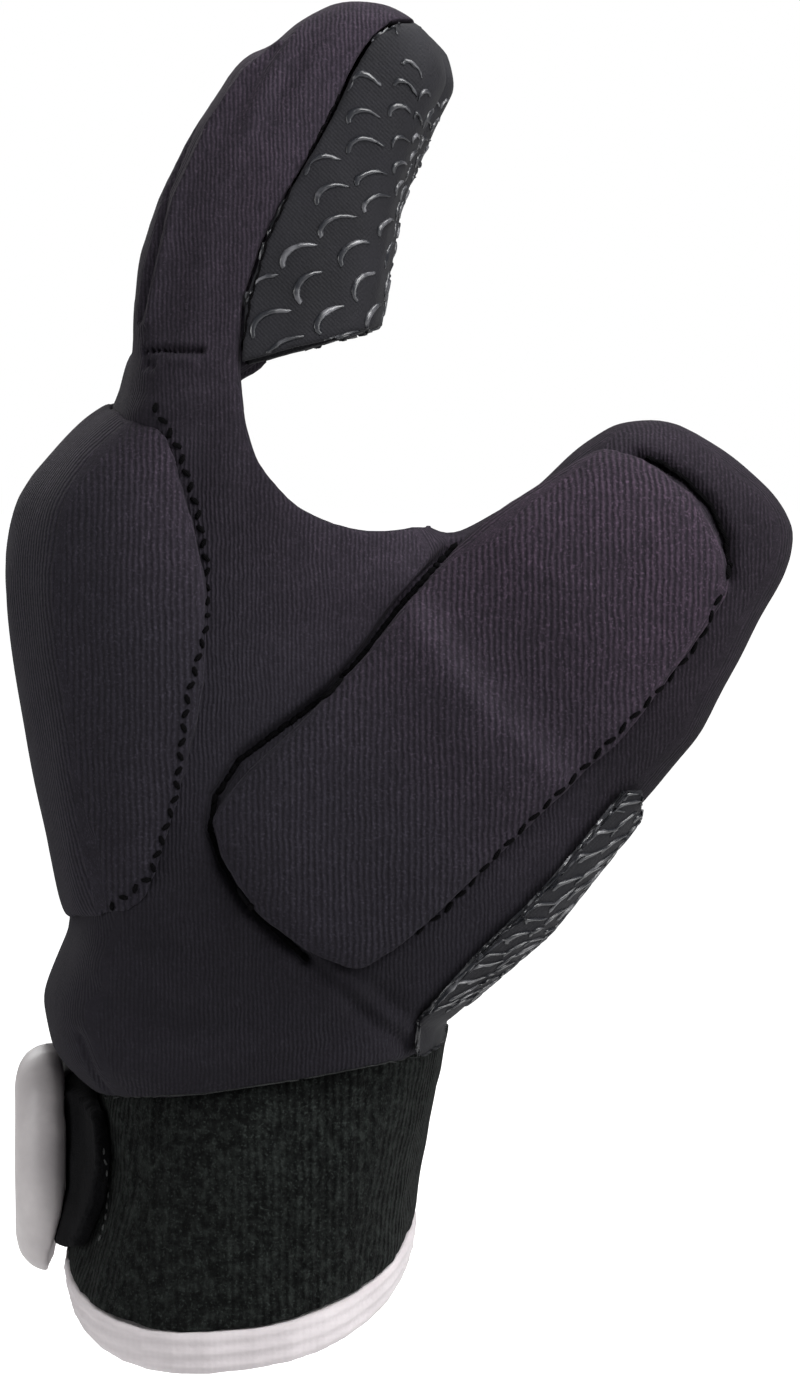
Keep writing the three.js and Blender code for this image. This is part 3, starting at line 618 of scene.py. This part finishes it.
def soften(piece, plan):        # smooths a ball of the piece, less and less towards its edge
    places, _ = meshArrays(piece)
    share = np.clip(2 - 2 * np.linalg.norm(places / mm - plan["middle"], axis=1) / plan["radius"], 0, 1)
    smoothPartly(piece, "soft", share, plan["steps"], plan["rounds"])


def cornersOf(mesh):            # the vertex of each face's corner, and where each face's corners start
    corners = np.empty(len(mesh.loops), np.int32)
    mesh.loops.foreach_get("vertex_index", corners)
    starts = np.empty(len(mesh.polygons), np.int32)
    mesh.polygons.foreach_get("loop_start", starts)
    return corners, starts


def treeOf(*pieces):
    points, faces = [], []
    for piece in pieces:
        corners, starts = cornersOf(piece.data)
        corners = (corners + len(points)).tolist()
        starts = starts.tolist()
        faces += [corners[a:b] for a, b in zip(starts, starts[1:] + [len(corners)])]
        points += meshArrays(piece)[0].tolist()
    return BVHTree.FromPolygons(points, faces)


def waves(places, seed, size, count=7):     # a smooth uneven surface, about -1 to 1
    rng = np.random.default_rng(seed)
    total = np.zeros(len(places))
    for _ in range(count):
        direction = rng.normal(size=3)
        direction /= np.linalg.norm(direction)
        length = size * rng.uniform(0.7, 1.5)
        total += np.sin(places @ direction * (2 * math.pi / length) + rng.uniform(0, 2 * math.pi))
    return total / math.sqrt(count)


def ripples(places, rows):      # waves in several sizes, each row with its seed, size and height
    return sum(waves(places, seed, size) * height for seed, size, height in rows)


def ripple(piece, rows):
    pushOut(piece, lambda places, normals: ripples(places, rows))


def folds(places, normals, table, side=-1):
    # each fold: its middle as seen from the thumb's side, its direction in degrees from +X,
    # and its length, width and depth
    total = np.zeros(len(places))
    shown = np.clip(normals[:, 1] * side * 1.6, 0, 1)
    for x, z, lean, length, width, depth in table:
        turn = math.radians(lean)
        u = (places[:, 0] - x) * math.cos(turn) + (places[:, 2] - z) * math.sin(turn)
        v = (places[:, 2] - z) * math.cos(turn) - (places[:, 0] - x) * math.sin(turn)
        ends = np.exp(-((u / length) ** 2))
        sides = np.exp(-((v / width) ** 2) / 2)
        total += depth * ends * np.cos(v * math.pi / width) * sides
    return total * shown


def seenSpot(tree, x, z, side):     # place and normal behind a point of the plane that the camera aims at
    start = cameraPlace(side)
    through = Vector((x * mm, 0, z * mm))
    point, normal, _, _ = tree.ray_cast(start, (through - start).normalized())
    return point, normal


creasePlan = {
    "step": 0.7,                # between the places of a line
    "finer": (2.2, 1.7),        # half widths from a line, within which faces are split, once for each
    "limit": 3,                 # half widths past which a line does nothing
}


def drawnLine(tree, points, side):      # places in mm on the surface behind a line of seen points
    line = []
    for a, b in zip(points, points[1:]):
        count = max(int(math.dist(a, b) / creasePlan["step"]), 1)
        for k in range(count + 1):
            share = k / count
            point, _ = seenSpot(tree, a[0] + (b[0] - a[0]) * share, a[1] + (b[1] - a[1]) * share, side)
            if point is not None:
                line.append(np.array(point) / mm)
    return line


def nearLine(places, line, reach, batch=6):     # distance of each place to a line, or 99 past its reach
    distance = np.full(len(places), 99.0)
    for start in range(0, len(line), batch):
        spots = np.array(line[start:start + batch])
        low, high = spots.min(axis=0) - reach, spots.max(axis=0) + reach
        inside = np.flatnonzero(np.all((places > low) & (places < high), axis=1))
        for spot in spots:
            distance[inside] = np.minimum(distance[inside], np.linalg.norm(places[inside] - spot, axis=1))
    return distance


def crease(piece, table, sides):    # presses lines into a piece or raises them, on a finer mesh there
    tree = treeOf(piece)
    lines = []
    for side in sides:
        for row in table:
            if side < 0 or "near" not in row:
                lines.append((row, drawnLine(tree, row["points"], side)))

    def distanceTo(row, line, places):
        return nearLine(places, line, creasePlan["limit"] * row["width"])

    choose(piece)
    bpy.context.tool_settings.mesh_select_mode = (False, False, True)
    for reach in creasePlan["finer"]:
        places, _ = meshArrays(piece)
        near = np.zeros(len(places), bool)
        for row, line in lines:
            near |= distanceTo(row, line, places / mm) < reach * row["width"]
        corners, starts = cornersOf(piece.data)
        bpy.ops.object.mode_set(mode="EDIT")
        bpy.ops.mesh.select_all(action="DESELECT")
        bpy.ops.object.mode_set(mode="OBJECT")
        piece.data.polygons.foreach_set("select", np.logical_or.reduceat(near[corners], starts))
        bpy.ops.object.mode_set(mode="EDIT")
        bpy.ops.mesh.subdivide(number_cuts=1)
        bpy.ops.object.mode_set(mode="OBJECT")

    def height(places, normals):
        total = np.zeros(len(places))
        for row, line in lines:
            total += row["height"] * np.exp(-((distanceTo(row, line, places) / row["width"]) ** 2))
        return total

    pushOut(piece, height)


def dress(piece, material, slot, *nodes):
    choose(piece)
    bpy.ops.object.shade_smooth()
    piece.data.materials.clear()
    piece.data.materials.append(material)
    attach(piece, "root")
    if nodes:
        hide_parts(*nodes)
    return piece


# Knitted body: hand, thumb and the backs of the fingers

bodyPlan = {
    "grain": 1.22,
    "rounds": 4,
    "even": 26,
    "swell": sewnGap * 0.57,    # closes the gaps that are sewn up
    # the corner between web and thumb, which is rounded
    "soft": {"middle": (27.5, -28, 116.5), "radius": 9, "steps": 8, "rounds": 30},
    "waves": [(3, 26, 0.16), (4, 9, 0.05)],
    "farFolds": 0.8,            # depth of the folds on the far side, as a share of those on the near side
    "folds": [
        # x, z, lean, length, width, depth
        (12, 47, 28, 12, 5, 0.7),
        (20, 50, 32, 10, 4.5, -0.6),
        (-4, 41, 8, 15, 4, 0.45),
        (-14, 52, -20, 9, 5, 0.5),
        (2, 60, 65, 10, 5, 0.35),
        (0, 128, 80, 9, 4, 0.5),
        (-8, 133, 10, 8, 3, 0.45),
        (6, 178, 62, 7, 2.6, 0.5),
        (10, 182, 58, 6, 2.4, -0.45),
        (3, 173, 66, 7, 2.6, 0.4),
        (-4, 152, 78, 10, 3.4, 0.35),
        (20, 108, 10, 14, 5, 0.4),
    ],
}

grooveLine = [
    # between hand and thumb, from the web to the heel
    (31.6, 112.7), (26.8, 107.3), (23.5, 103.6), (18.8, 97.3), (13, 90.5), (6, 85.4),
    (-0.7, 80.5), (-4.2, 75), (-5, 70), (-3.2, 65), (1.6, 58), (9.4, 50.6),
]

thumbEndLine = [(62.2, 124.9), (66, 122.4), (69.8, 118.4), (72, 113.4), (72.2, 108)]

creaseTable = [
    # height over or under the knit, half width, whether only on the near side, and points as seen
    # from the thumb's side in the plane of the camera's aim
    {"height": 0.8, "width": 0.8, "points": [
        (-13.9, 146), (-12.4, 153), (-9.7, 164), (-4.6, 175), (0.6, 182.6), (5.6, 186.6),
    ]},
    {"height": -1, "width": 0.9, "points": [
        (-15.4, 146.6), (-14, 153.4), (-11.4, 164.8), (-6.4, 176), (-1, 184),
    ]},
    {"height": -1.6, "width": 0.5, "points": [(-14.6, 141.5), (-12, 141.9), (-6.2, 141.7)]},
    {"height": -1, "width": 0.8, "points": [(-14.4, 139.8), (-13.6, 139.6)]},
    {"height": 0.5, "width": 0.7, "points": [(-10.3, 140), (-7.4, 140)]},
    {"height": -1.9, "width": 0.95, "near": True, "points": grooveLine},
    {"height": -0.6, "width": 1.2, "near": True, "points": [
        (9.4, 50.6), (14, 46), (20, 40.6), (24.4, 38),
    ]},
    {"height": 0.5, "width": 1.3, "near": True, "points": [
        (11.4, 51.4), (16.2, 46.9), (21.2, 42), (25.4, 39.6),
    ]},
    {"height": -0.35, "width": 1.3, "near": True, "points": [(14.4, 50.4), (18.4, 47.4), (23.4, 42.8)]},
    {"height": -0.6, "width": 1.2, "points": [(-24.5, 38.5), (-22.6, 33.4), (-20.8, 31)]},
    {"height": -1.7, "width": 1.2, "near": True, "points": [(58.6, 126), *thumbEndLine]},
]

webTable = [
    # middle and half sizes of cloth between the roots of the fingers and inside the thumb's web
    ((-6, -22.4, 140.5), (9.5, 3.8, 3.6)),
    ((-6, 0, 140.5), (9.5, 3.8, 3.6)),
    ((-6, 22.4, 140.5), (9.5, 3.8, 3.6)),
    ((34.6, -17.2, 106), (5.6, 2.4, 7)),
]


def makeWebs():
    webs = []
    for middle, half in webTable:
        bpy.ops.object.select_all(action="DESELECT")
        bpy.ops.mesh.primitive_uv_sphere_add(segments=16, ring_count=10, radius=1)
        web = bpy.context.object
        for vertex in web.data.vertices:
            vertex.co = [(middle[k] + vertex.co[k] * half[k]) * mm for k in range(3)]
        webs.append(web)
    return webs


def makeBody():
    nodes = ["hand_shell", "thumb_sleeve"]
    nodes += [f"{finger}_{part}" for finger in fingerNames for part in ("back", "pad")]
    piece = knitted("knitBody", nodes, bodyPlan, makeWebs())
    soften(piece, bodyPlan["soft"])

    def height(places, normals):
        near = folds(places, normals, bodyPlan["folds"])
        far = folds(places, normals, bodyPlan["folds"], 1)
        return near + far * bodyPlan["farFolds"] + ripples(places, bodyPlan["waves"])

    pushOut(piece, height)
    crease(piece, creaseTable, (-1, 1))
    print("knitted body made")
    return dress(piece, finishes["handKnit"], "knit", *nodes)


# Foam pads

padPlan = {
    "backPad": {
        "node": "back_pad", "grain": 1.4, "rounds": 9, "even": 40, "swell": 0.3,
        "reach": 1.5,           # by which its palm side edge is moved to its seam
        "cap": 0.9,             # the most that it is puffed
        "waves": [(11, 17, 0.12)],
    },
    "thumbPad": {
        "node": "thumb_pad", "grain": 1.2, "rounds": 8, "even": 40, "swell": 0.6,
        "reach": 0,
        "cap": 0.7,
        "waves": [(12, 17, 0.12)],
    },
}

reachPlan = {"start": -22, "blend": 12}     # in x, from where the pad's edge is moved, and over what

puffPlan = {
    "sewn": 1.5,                # up to this far from the hand's knit the pad is held
    "pressure": 3.0,
    "frames": 12,
    "rounds": 2,                # of smoothing afterwards
}

flexTable = [
    # the flex crease of the thumb pad: a ridge with a hollow beyond it
    {"height": 0.5, "width": 2.4, "points": [(25.2, 102.6), (31.4, 92.6), (37.8, 86), (47.6, 77.2)]},
    {"height": -0.5, "width": 3.2, "points": [(28.8, 105.4), (34.8, 95.8), (41.4, 89.2), (50.4, 80.8)]},
]


def puff(piece, cap, backing):  # foam under cloth: the outer face swells a little, the sewn face stays
    places, _ = meshArrays(piece)
    start = places.copy()
    group = piece.vertex_groups.new(name="sewn")
    for k, place in enumerate(start):
        _, _, _, distance = backing.find_nearest(Vector(place))
        if distance < puffPlan["sewn"] * mm:
            group.add([k], 1, "REPLACE")
    cloth = piece.modifiers.new("cloth", "CLOTH")
    cloth.settings.vertex_group_mass = "sewn"
    cloth.settings.use_pressure = True
    cloth.settings.uniform_pressure_force = puffPlan["pressure"]
    cloth.settings.effector_weights.gravity = 0
    for step in range(1, puffPlan["frames"] + 1):
        bpy.context.scene.frame_set(step)
    choose(piece)
    bpy.ops.object.modifier_apply(modifier="cloth")
    bpy.context.scene.frame_set(1)
    places, _ = meshArrays(piece)
    move = places - start
    far = np.linalg.norm(move, axis=1)
    setPlaces(piece, start + move * (np.minimum(far, cap * mm) / np.maximum(far, 1e-9))[:, None])
    smooth(piece, puffPlan["rounds"])


def makePad(name):
    plan = padPlan[name]
    piece = knitted(name, [plan["node"]], plan)
    puff(piece, plan["cap"], handTree)
    places, _ = meshArrays(piece)
    share = np.clip((places[:, 0] / mm - reachPlan["start"]) / reachPlan["blend"], 0, 1)
    places[:, 0] += plan["reach"] * mm * share
    setPlaces(piece, places)
    finishWith(piece, "SUBSURF", levels=1, render_levels=1)
    ripple(piece, plan["waves"])
    if name == "thumbPad":
        crease(piece, flexTable, (-1,))
    print(name, "made")
    return dress(piece, finishes["padKnit"], "pad_knit", plan["node"])


# Silicone crescents, laid on grip fabric

crescentPlan = {
    "width": 5.0,
    "rise": 1.5,
    "thick": 0.64,
    "height": 0.36,
    "ring": 2.9,                # radius of the ring that it is cut from
    "cut": 0.72,                # from the ring's middle
    "ringRise": 2.2,            # of what is left of the ring
    "pointed": 3.3,             # half the ring's width, at which its ends would come to a point
    "lift": 0.04,               # above the fabric
    "sink": 0.5,                # under the fabric, past its edge
    "spread": 12,               # by which the tilt of one varies
    "drift": 0.5,               # by which the place of one varies
    "across": 5.6,              # between the columns
    "along": 5.1,               # between the rows
    "turn": 27,                 # of the whole pattern
}


def makeCrescent():             # one crescent lying flat at the origin, its round side towards +Y
    plan = crescentPlan
    ring, cut = plan["ring"], plan["cut"]
    bpy.ops.object.select_all(action="DESELECT")
    bpy.ops.mesh.primitive_torus_add(
        major_segments=18, minor_segments=6, major_radius=ring, minor_radius=plan["thick"],
    )
    piece = bpy.context.object
    piece.name = "crescent"
    bpy.ops.object.mode_set(mode="EDIT")
    bpy.ops.mesh.select_all(action="SELECT")
    bpy.ops.mesh.bisect(plane_co=(0, cut, 0), plane_no=(0, 1, 0), clear_inner=True, use_fill=True)
    bpy.ops.object.mode_set(mode="OBJECT")
    for vertex in piece.data.vertices:
        x, y, z = vertex.co
        taper = max(1 - (abs(x) / plan["pointed"]) ** 3, 0.3)
        reach = math.hypot(x, y)
        scale = (ring + (reach - ring) * taper) / reach
        vertex.co = (
            x * scale * plan["width"] / (2 * ring),
            (y * scale - cut) * plan["rise"] / plan["ringRise"],
            z * taper * plan["height"] / plan["thick"],
        )
    return piece


def layCrescents(name, spotAt, spots, lie):
    # spotAt(across, along) gives a place on the fabric, its normal and whether it fits
    plan = crescentPlan
    flat = [vertex.co.copy() for vertex in crescent.data.vertices]
    chance = random.Random(len(name))
    laid = []
    for across, along in spots:
        turn = math.radians(lie["tilt"] + chance.uniform(-1, 1) * plan["spread"])
        across += chance.uniform(-1, 1) * plan["drift"]
        along += chance.uniform(-1, 1) * plan["drift"]
        points, strays = [], 0
        for x, y, z in flat:
            y *= lie["bend"]
            u = x * math.cos(turn) - y * math.sin(turn)
            v = x * math.sin(turn) + y * math.cos(turn)
            point, normal, fits = spotAt(across + u, along + v)
            strays += not fits
            height = z + plan["lift"] if fits else -plan["sink"]
            points.append(point + normal * (height * mm))
        low, high = np.min(points, axis=0), np.max(points, axis=0)
        if strays > lie["strays"] * len(flat) or np.linalg.norm(high - low) > lie["largest"] * mm:
            continue
        mark = addObject(name, crescent.data.copy())
        for vertex, point in zip(mark.data.vertices, points):
            vertex.co = point
        laid.append(mark)
    choose(*laid)
    bpy.ops.object.join()
    piece = bpy.context.view_layer.objects.active
    piece.name = name
    return dress(piece, finishes["silicone"], "grip_fabric")


def turnedSpots(plan, start, end):  # places of crescents, every other column half a row on
    turn = math.radians(crescentPlan["turn"])
    spots = []
    for column in range(-plan["columns"], plan["columns"] + 1):
        for row in range(-plan["rows"], plan["rows"] + 1):
            u = column * crescentPlan["across"] * plan["spacing"]
            v = (row + 0.5 * (column % 2)) * crescentPlan["along"] * plan["spacing"]
            across = u * math.cos(turn) - v * math.sin(turn)
            along = u * math.sin(turn) + v * math.cos(turn) + start
            if abs(across) < plan["half"] and -plan["before"] < along < end:
                spots.append((across, along))
    return spots


def lineAt(rows, distance):     # a place on a line of (middle, towards) rows, so far along it
    left = distance
    for (a, towardsA), (b, towardsB) in zip(rows, rows[1:]):
        length = (b - a).length
        if left <= length or b is rows[-1][0]:
            share = left / length
            return a.lerp(b, share), towardsA.lerp(towardsB, min(max(share, 0), 1)).normalized()
        left -= length


def landing(tree, guess, facing):   # nearest place of a fabric, its normal, and whether it faces the guess
    point, normal, _, _ = tree.find_nearest(guess)
    away = (guess - point).normalized()
    return point, normal, away.dot(normal) > facing


# Grip fabric of the fingers

gripPlan = {
    "grain": 0.75,
    "rounds": 3,
    "even": 24,
    "waves": [(31, 11, 0.1)],   # the seed is one more for each next finger
    "outside": 16,              # from the finger's middle line, where crescents come from
    "facing": 0.93,             # how straight the fabric has to face that place
    "radius": 10.2,             # of the bend round the finger
    "columns": 8,
    "rows": 10,
    "spacing": 1,
    "half": 26,                 # round the finger, to either side
    "before": 4,                # along the finger, before its line and beyond it
    "beyond": 6,
    # tilt of a crescent, how much it bends, share of it that may lie off the fabric, and its longest way
    "lie": {"tilt": 58, "bend": 1, "strays": 0.32, "largest": 7.5},
}

fingerPlan = {
    "pitch": 22.4,
    "index": {"place": -1.5, "length": 1, "curl": 0},
    "middle": {"place": -0.5, "length": 1.03, "curl": 0.5},
    "ring": {"place": 0.5, "length": 0.98, "curl": 0.8},
    "little": {"place": 1.5, "length": 0.84, "curl": 1.5},
    # middle line of the forefinger and the direction of its palm side
    "line": [
        ((4.0, 138.2), (1, 0.04)),
        ((6.5, 157.2), (1, -0.04)),
        ((9.1, 164.6), (0.98, -0.2)),
        ((12.4, 170.9), (0.92, -0.4)),
        ((16.1, 176.2), (0.82, -0.58)),
        ((20.5, 180.5), (0.66, -0.75)),
        ((24.5, 182.3), (0.5, -0.87)),
    ],
    "base": (-12.4, 137.5),     # where the other fingers' lines are shortened and turned from
}


def fingerLine(finger):
    plan = fingerPlan[finger]
    baseX, baseZ = fingerPlan["base"]
    rows = []
    last = len(fingerPlan["line"]) - 1
    for k, ((x, z), (towardsX, towardsZ)) in enumerate(fingerPlan["line"]):
        angle = math.radians(plan["curl"]) * k / last
        dx = (x - baseX) * (1 + (plan["length"] - 1) * k / last)
        dz = (z - baseZ) * plan["length"]
        middle = Vector((
            baseX + dx * math.cos(angle) + dz * math.sin(angle),
            plan["place"] * fingerPlan["pitch"],
            baseZ - dx * math.sin(angle) + dz * math.cos(angle),
        ))
        towards = Vector((
            towardsX * math.cos(angle) + towardsZ * math.sin(angle), 0,
            towardsZ * math.cos(angle) - towardsX * math.sin(angle),
        )).normalized()
        rows.append((middle * mm, towards))
    return rows


def fingerSpots(finger, tree):
    plan = gripPlan
    rows = fingerLine(finger)
    length = sum((b[0] - a[0]).length for a, b in zip(rows, rows[1:])) / mm

    def spotAt(across, along):
        middle, towards = lineAt(rows, along * mm)
        turn = across / plan["radius"]
        outwards = towards * math.cos(turn) + Vector((0, math.sin(turn), 0))
        return landing(tree, middle + outwards * plan["outside"] * mm, plan["facing"])

    return spotAt, turnedSpots(plan, length / 2, length + plan["beyond"])


def makeGrip(finger):
    node = f"{finger}_grip"
    piece = knitted(f"{finger}Grip", [node], gripPlan)
    shift = fingerNames.index(finger)
    ripple(piece, [(seed + shift, size, height) for seed, size, height in gripPlan["waves"]])
    dress(piece, finishes["gripFabric"], "grip_fabric", node)
    layCrescents(f"{finger}Crescents", *fingerSpots(finger, treeOf(piece)), gripPlan["lie"])
    return piece


# Grip fabric on the heel of the hand

heelPlan = {
    "grain": 0.7,
    "rounds": 3,
    "even": 24,
    # middle line and the direction of the palm side
    "line": [
        ((22, 40), (0.98, -0.2)),
        ((30, 52), (0.86, -0.51)),
        ((40, 66), (0.76, -0.65)),
        ((50, 78), (0.8, -0.6)),
    ],
    "middle": -5,
    "flat": 24,                 # half the breadth of its flat part
    "radius": 9,                # of its bends beside that
    "outside": 24,
    "facing": 0.9,
    "columns": 22,
    "rows": 22,
    "spacing": 0.58,            # of its crescents, which are closer together than those of the fingers
    "start": 24,                # of the pattern, along the line
    "half": 52,
    "before": 10,
    "end": 56,
    "lie": {"tilt": 62, "bend": 0.45, "strays": 0.45, "largest": 8.5},
}


def heelSpots(tree):
    plan = heelPlan
    rows = [
        (Vector((x, plan["middle"], z)) * mm, Vector((towardsX, 0, towardsZ)).normalized())
        for (x, z), (towardsX, towardsZ) in plan["line"]
    ]

    def spotAt(across, along):
        middle, towards = lineAt(rows, along * mm)
        flat = max(-plan["flat"], min(plan["flat"], across))
        turn = (across - flat) / plan["radius"]
        outwards = towards * math.cos(turn) + Vector((0, math.sin(turn), 0))
        beside = middle + Vector((0, flat * mm, 0))
        return landing(tree, beside + outwards * plan["outside"] * mm, plan["facing"])

    return spotAt, turnedSpots(plan, plan["start"], plan["end"])


def makeHeelGrip():
    piece = knitted("heelGrip", ["heel_grip"], heelPlan)
    dress(piece, finishes["gripFabric"], "grip_fabric", "heel_grip")
    layCrescents("heelCrescents", *heelSpots(treeOf(piece)), heelPlan["lie"])
    print("heel grip made")
    return piece


# Cuff, binding, strap and tab

cuffPlan = {
    "grain": 0.9,
    "rounds": 3,
    "even": 16,
    "swell": sewnGap * 0.8,
    "waves": [(41, 15, 0.22), (42, 5, 0.08)],
}


def makeCuff():
    piece = knitted("wristCuff", ["wrist_cuff"], cuffPlan)
    ripple(piece, cuffPlan["waves"])
    return dress(piece, finishes["cuffKnit"], "cuff_knit", "wrist_cuff")


bindingPlan = {"grain": 0.5, "rounds": 3, "waves": [(43, 18, 0.12)]}


def makeBinding():
    piece = knitted("cuffBinding", ["cuff_binding"], bindingPlan)
    ripple(piece, bindingPlan["waves"])
    return dress(piece, finishes["elastic"], "elastic", "cuff_binding")


strapPlan = {
    "grain": 0.6,
    "rounds": 3,
    "even": 12,
    "rise": 1.2,                # of its upper edge, which stands up a little behind the tab
}


def makeStrap():
    piece = knitted("wristStrap", ["wrist_strap"], strapPlan)
    pushOut(piece, lambda places, normals: np.clip(normals[:, 2], 0, 1) * strapPlan["rise"])
    return dress(piece, finishes["strapWeb"], "strap_web", "wrist_strap")


tabPlan = {"grain": 0.8, "rounds": 8, "even": 12}


def makeTab():
    piece = knitted("strapTab", ["strap_tab"], tabPlan)
    return dress(piece, finishes["paleRubber"], "pale_rubber", "strap_tab")


# Stitches

stitchPlan = {
    "segments": 6,
    "rings": 5,
    "lift": 0.05,               # above the cloth
    "ahead": 0.6,               # where the seam's direction is taken
    "jump": 3,                  # a stitch that would reach further in depth is left out
}

seamTable = {
    # seams as seen from the thumb's side, in the plane of the camera's aim, whether on both sides
    # of the hand, and the stitches' slant to either side, their step, length, thickness and thread
    "backPadSeam": {
        "points": [
            (-13.5, 134), (-9.5, 127), (-6.8, 118), (-5.4, 110), (-5.4, 101), (-8.4, 89.5), (-10.2, 75),
            (-14, 63), (-20.5, 58),
        ],
        "both": True, "slant": 35, "step": 2.1, "length": 1.7, "thick": 0.85, "thread": "darkThreadAndShade",
    },
    "thumbPadSeam": {
        "points": [
            (71.3, 105.7), (68.2, 98.5), (63, 92.1), (55.5, 84.2), (49, 77.6), (44.3, 73), (36.9, 65.5),
            (30.7, 58.5), (25.4, 54.4),
        ],
        "both": False, "slant": 20, "step": 2.6, "length": 2.2, "thick": 0.8, "thread": "darkThreadAndShade",
    },
    # painted shade: not a seam but overlapping dark stitches that make one dark line along the groove
    # between hand and thumb, for the shade in it
    "grooveShadeLine": {
        "points": grooveLine,
        "both": False, "slant": 4, "step": 1.2, "length": 2.4, "thick": 1.0, "thread": "darkThreadAndShade",
    },
    "thumbEndSeam": {
        "points": [(60.4, 125.6), *thumbEndLine],
        "both": False, "slant": 6, "step": 1.2, "length": 2.4, "thick": 0.9, "thread": "darkThreadAndShade",
    },
    "fingerSeam": {
        "points": [
            (22.3, 190.2), (19.4, 188), (16.8, 184), (13.6, 177.8), (7.9, 166.8), (3.7, 157.8),
            (1.2, 149.1), (-0.4, 140),
        ],
        "both": True, "slant": 8, "step": 1.5, "length": 1.7, "thick": 0.42, "thread": "darkThreadAndShade",
    },
    "cuffSeam": {
        "points": [(-21.4, 29.7), (-6.4, 30.4), (8.5, 32.6), (26, 36)],
        "both": True, "slant": 3, "step": 1.5, "length": 2.8, "thick": 0.24, "thread": "paleThread",
    },
    "strapSeam": {
        "points": [(-21.2, 22.5), (-20.7, 19), (-20.3, 15.4), (-20.8, 11.2), (-21.9, 7.8)],
        "both": False, "slant": 10, "step": 1.5, "length": 1.1, "thick": 0.36, "thread": "strapThread",
    },
}


def makeStitch():               # points and faces of one stitch, 1 long, wide and high
    bpy.ops.object.select_all(action="DESELECT")
    bpy.ops.mesh.primitive_uv_sphere_add(
        segments=stitchPlan["segments"], ring_count=stitchPlan["rings"], radius=0.5,
    )
    piece = bpy.context.object
    points = [vertex.co.copy() for vertex in piece.data.vertices]
    faces = [list(polygon.vertices) for polygon in piece.data.polygons]
    bpy.data.objects.remove(piece)
    return points, faces


def sewSeam(name, tree, side):
    plan = seamTable[name]
    line = [Vector((x, 0, z)) for x, z in plan["points"]]
    shape, shapeFaces = stitch
    points, faces = [], []
    length = sum((b - a).length for a, b in zip(line, line[1:]))
    count = int(length / plan["step"])
    for k in range(count):
        left = (k + 0.5) * length / count
        for a, b in zip(line, line[1:]):
            if left <= (b - a).length:
                break
            left -= (b - a).length
        spot = a.lerp(b, left / (b - a).length)
        ahead = spot + (b - a).normalized() * stitchPlan["ahead"]
        point, normal = seenSpot(tree, spot.x, spot.z, side)
        further, _ = seenSpot(tree, ahead.x, ahead.z, side)
        if point is None or further is None or (further - point).length > stitchPlan["jump"] * mm:
            continue
        forward = (further - point).normalized()
        forward = (forward - normal * forward.dot(normal)).normalized()
        slant = math.radians(plan["slant"] * (1 if k % 2 else -1))
        forward.rotate(Matrix.Rotation(slant, 3, normal))
        beside = normal.cross(forward)
        start = len(points)
        for local in shape:
            points.append(
                point + normal * (stitchPlan["lift"] * mm)
                + forward * (local.x * plan["length"] * mm)
                + beside * (local.y * plan["thick"] * mm)
                + normal * (local.z * plan["thick"] * mm)
            )
        faces += [[start + j for j in face] for face in shapeFaces]
    mesh = bpy.data.meshes.new(name)
    mesh.from_pydata(points, [], faces)
    piece = addObject(name + ("Near" if side < 0 else "Far"), mesh)
    return dress(piece, finishes[plan["thread"]], "knit")


# Everything is made and put on the model

bpy.context.scene.view_settings.view_transform = "Standard"
makeCamera()
makeLights()
floor = makeRoom()
print("camera, lights and floor made")

finishes = {name: makeKnit(name) for name in knitPlan}
finishes["gripFabric"] = makeGripFabric()
finishes["silicone"] = makeSilicone()
finishes["elastic"] = makeElastic()
finishes["strapWeb"] = makeStrapWeb()
finishes["paleRubber"] = makePaleRubber()
for name in threadPlan["colours"]:
    finishes[name] = makeThread(name)
floor.data.materials.append(makeFloorPaint())
print("finishes made")

crescent = makeCrescent()
stitch = makeStitch()

body = makeBody()
handTree = treeOf(body)
backPad = makePad("backPad")
thumbPad = makePad("thumbPad")
grips = [makeGrip(finger) for finger in fingerNames]
print("fingers made")
heelGrip = makeHeelGrip()
cuff = makeCuff()
makeBinding()
strap = makeStrap()
tab = makeTab()
print("cuff and strap made")

sewnTree = treeOf(body, backPad, thumbPad, heelGrip, cuff, strap, tab, *grips)
bpy.data.objects.remove(crescent)
for name in seamTable:
    sewSeam(name, sewnTree, -1)
    if seamTable[name]["both"]:
        sewSeam(name, sewnTree, 1)
print("seams sewn")

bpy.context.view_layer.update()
triangles = {
    piece.name: sum(len(face.vertices) - 2 for face in piece.data.polygons)
    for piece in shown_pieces() if piece.type == "MESH"
}
print("triangles", sum(triangles.values()), triangles)
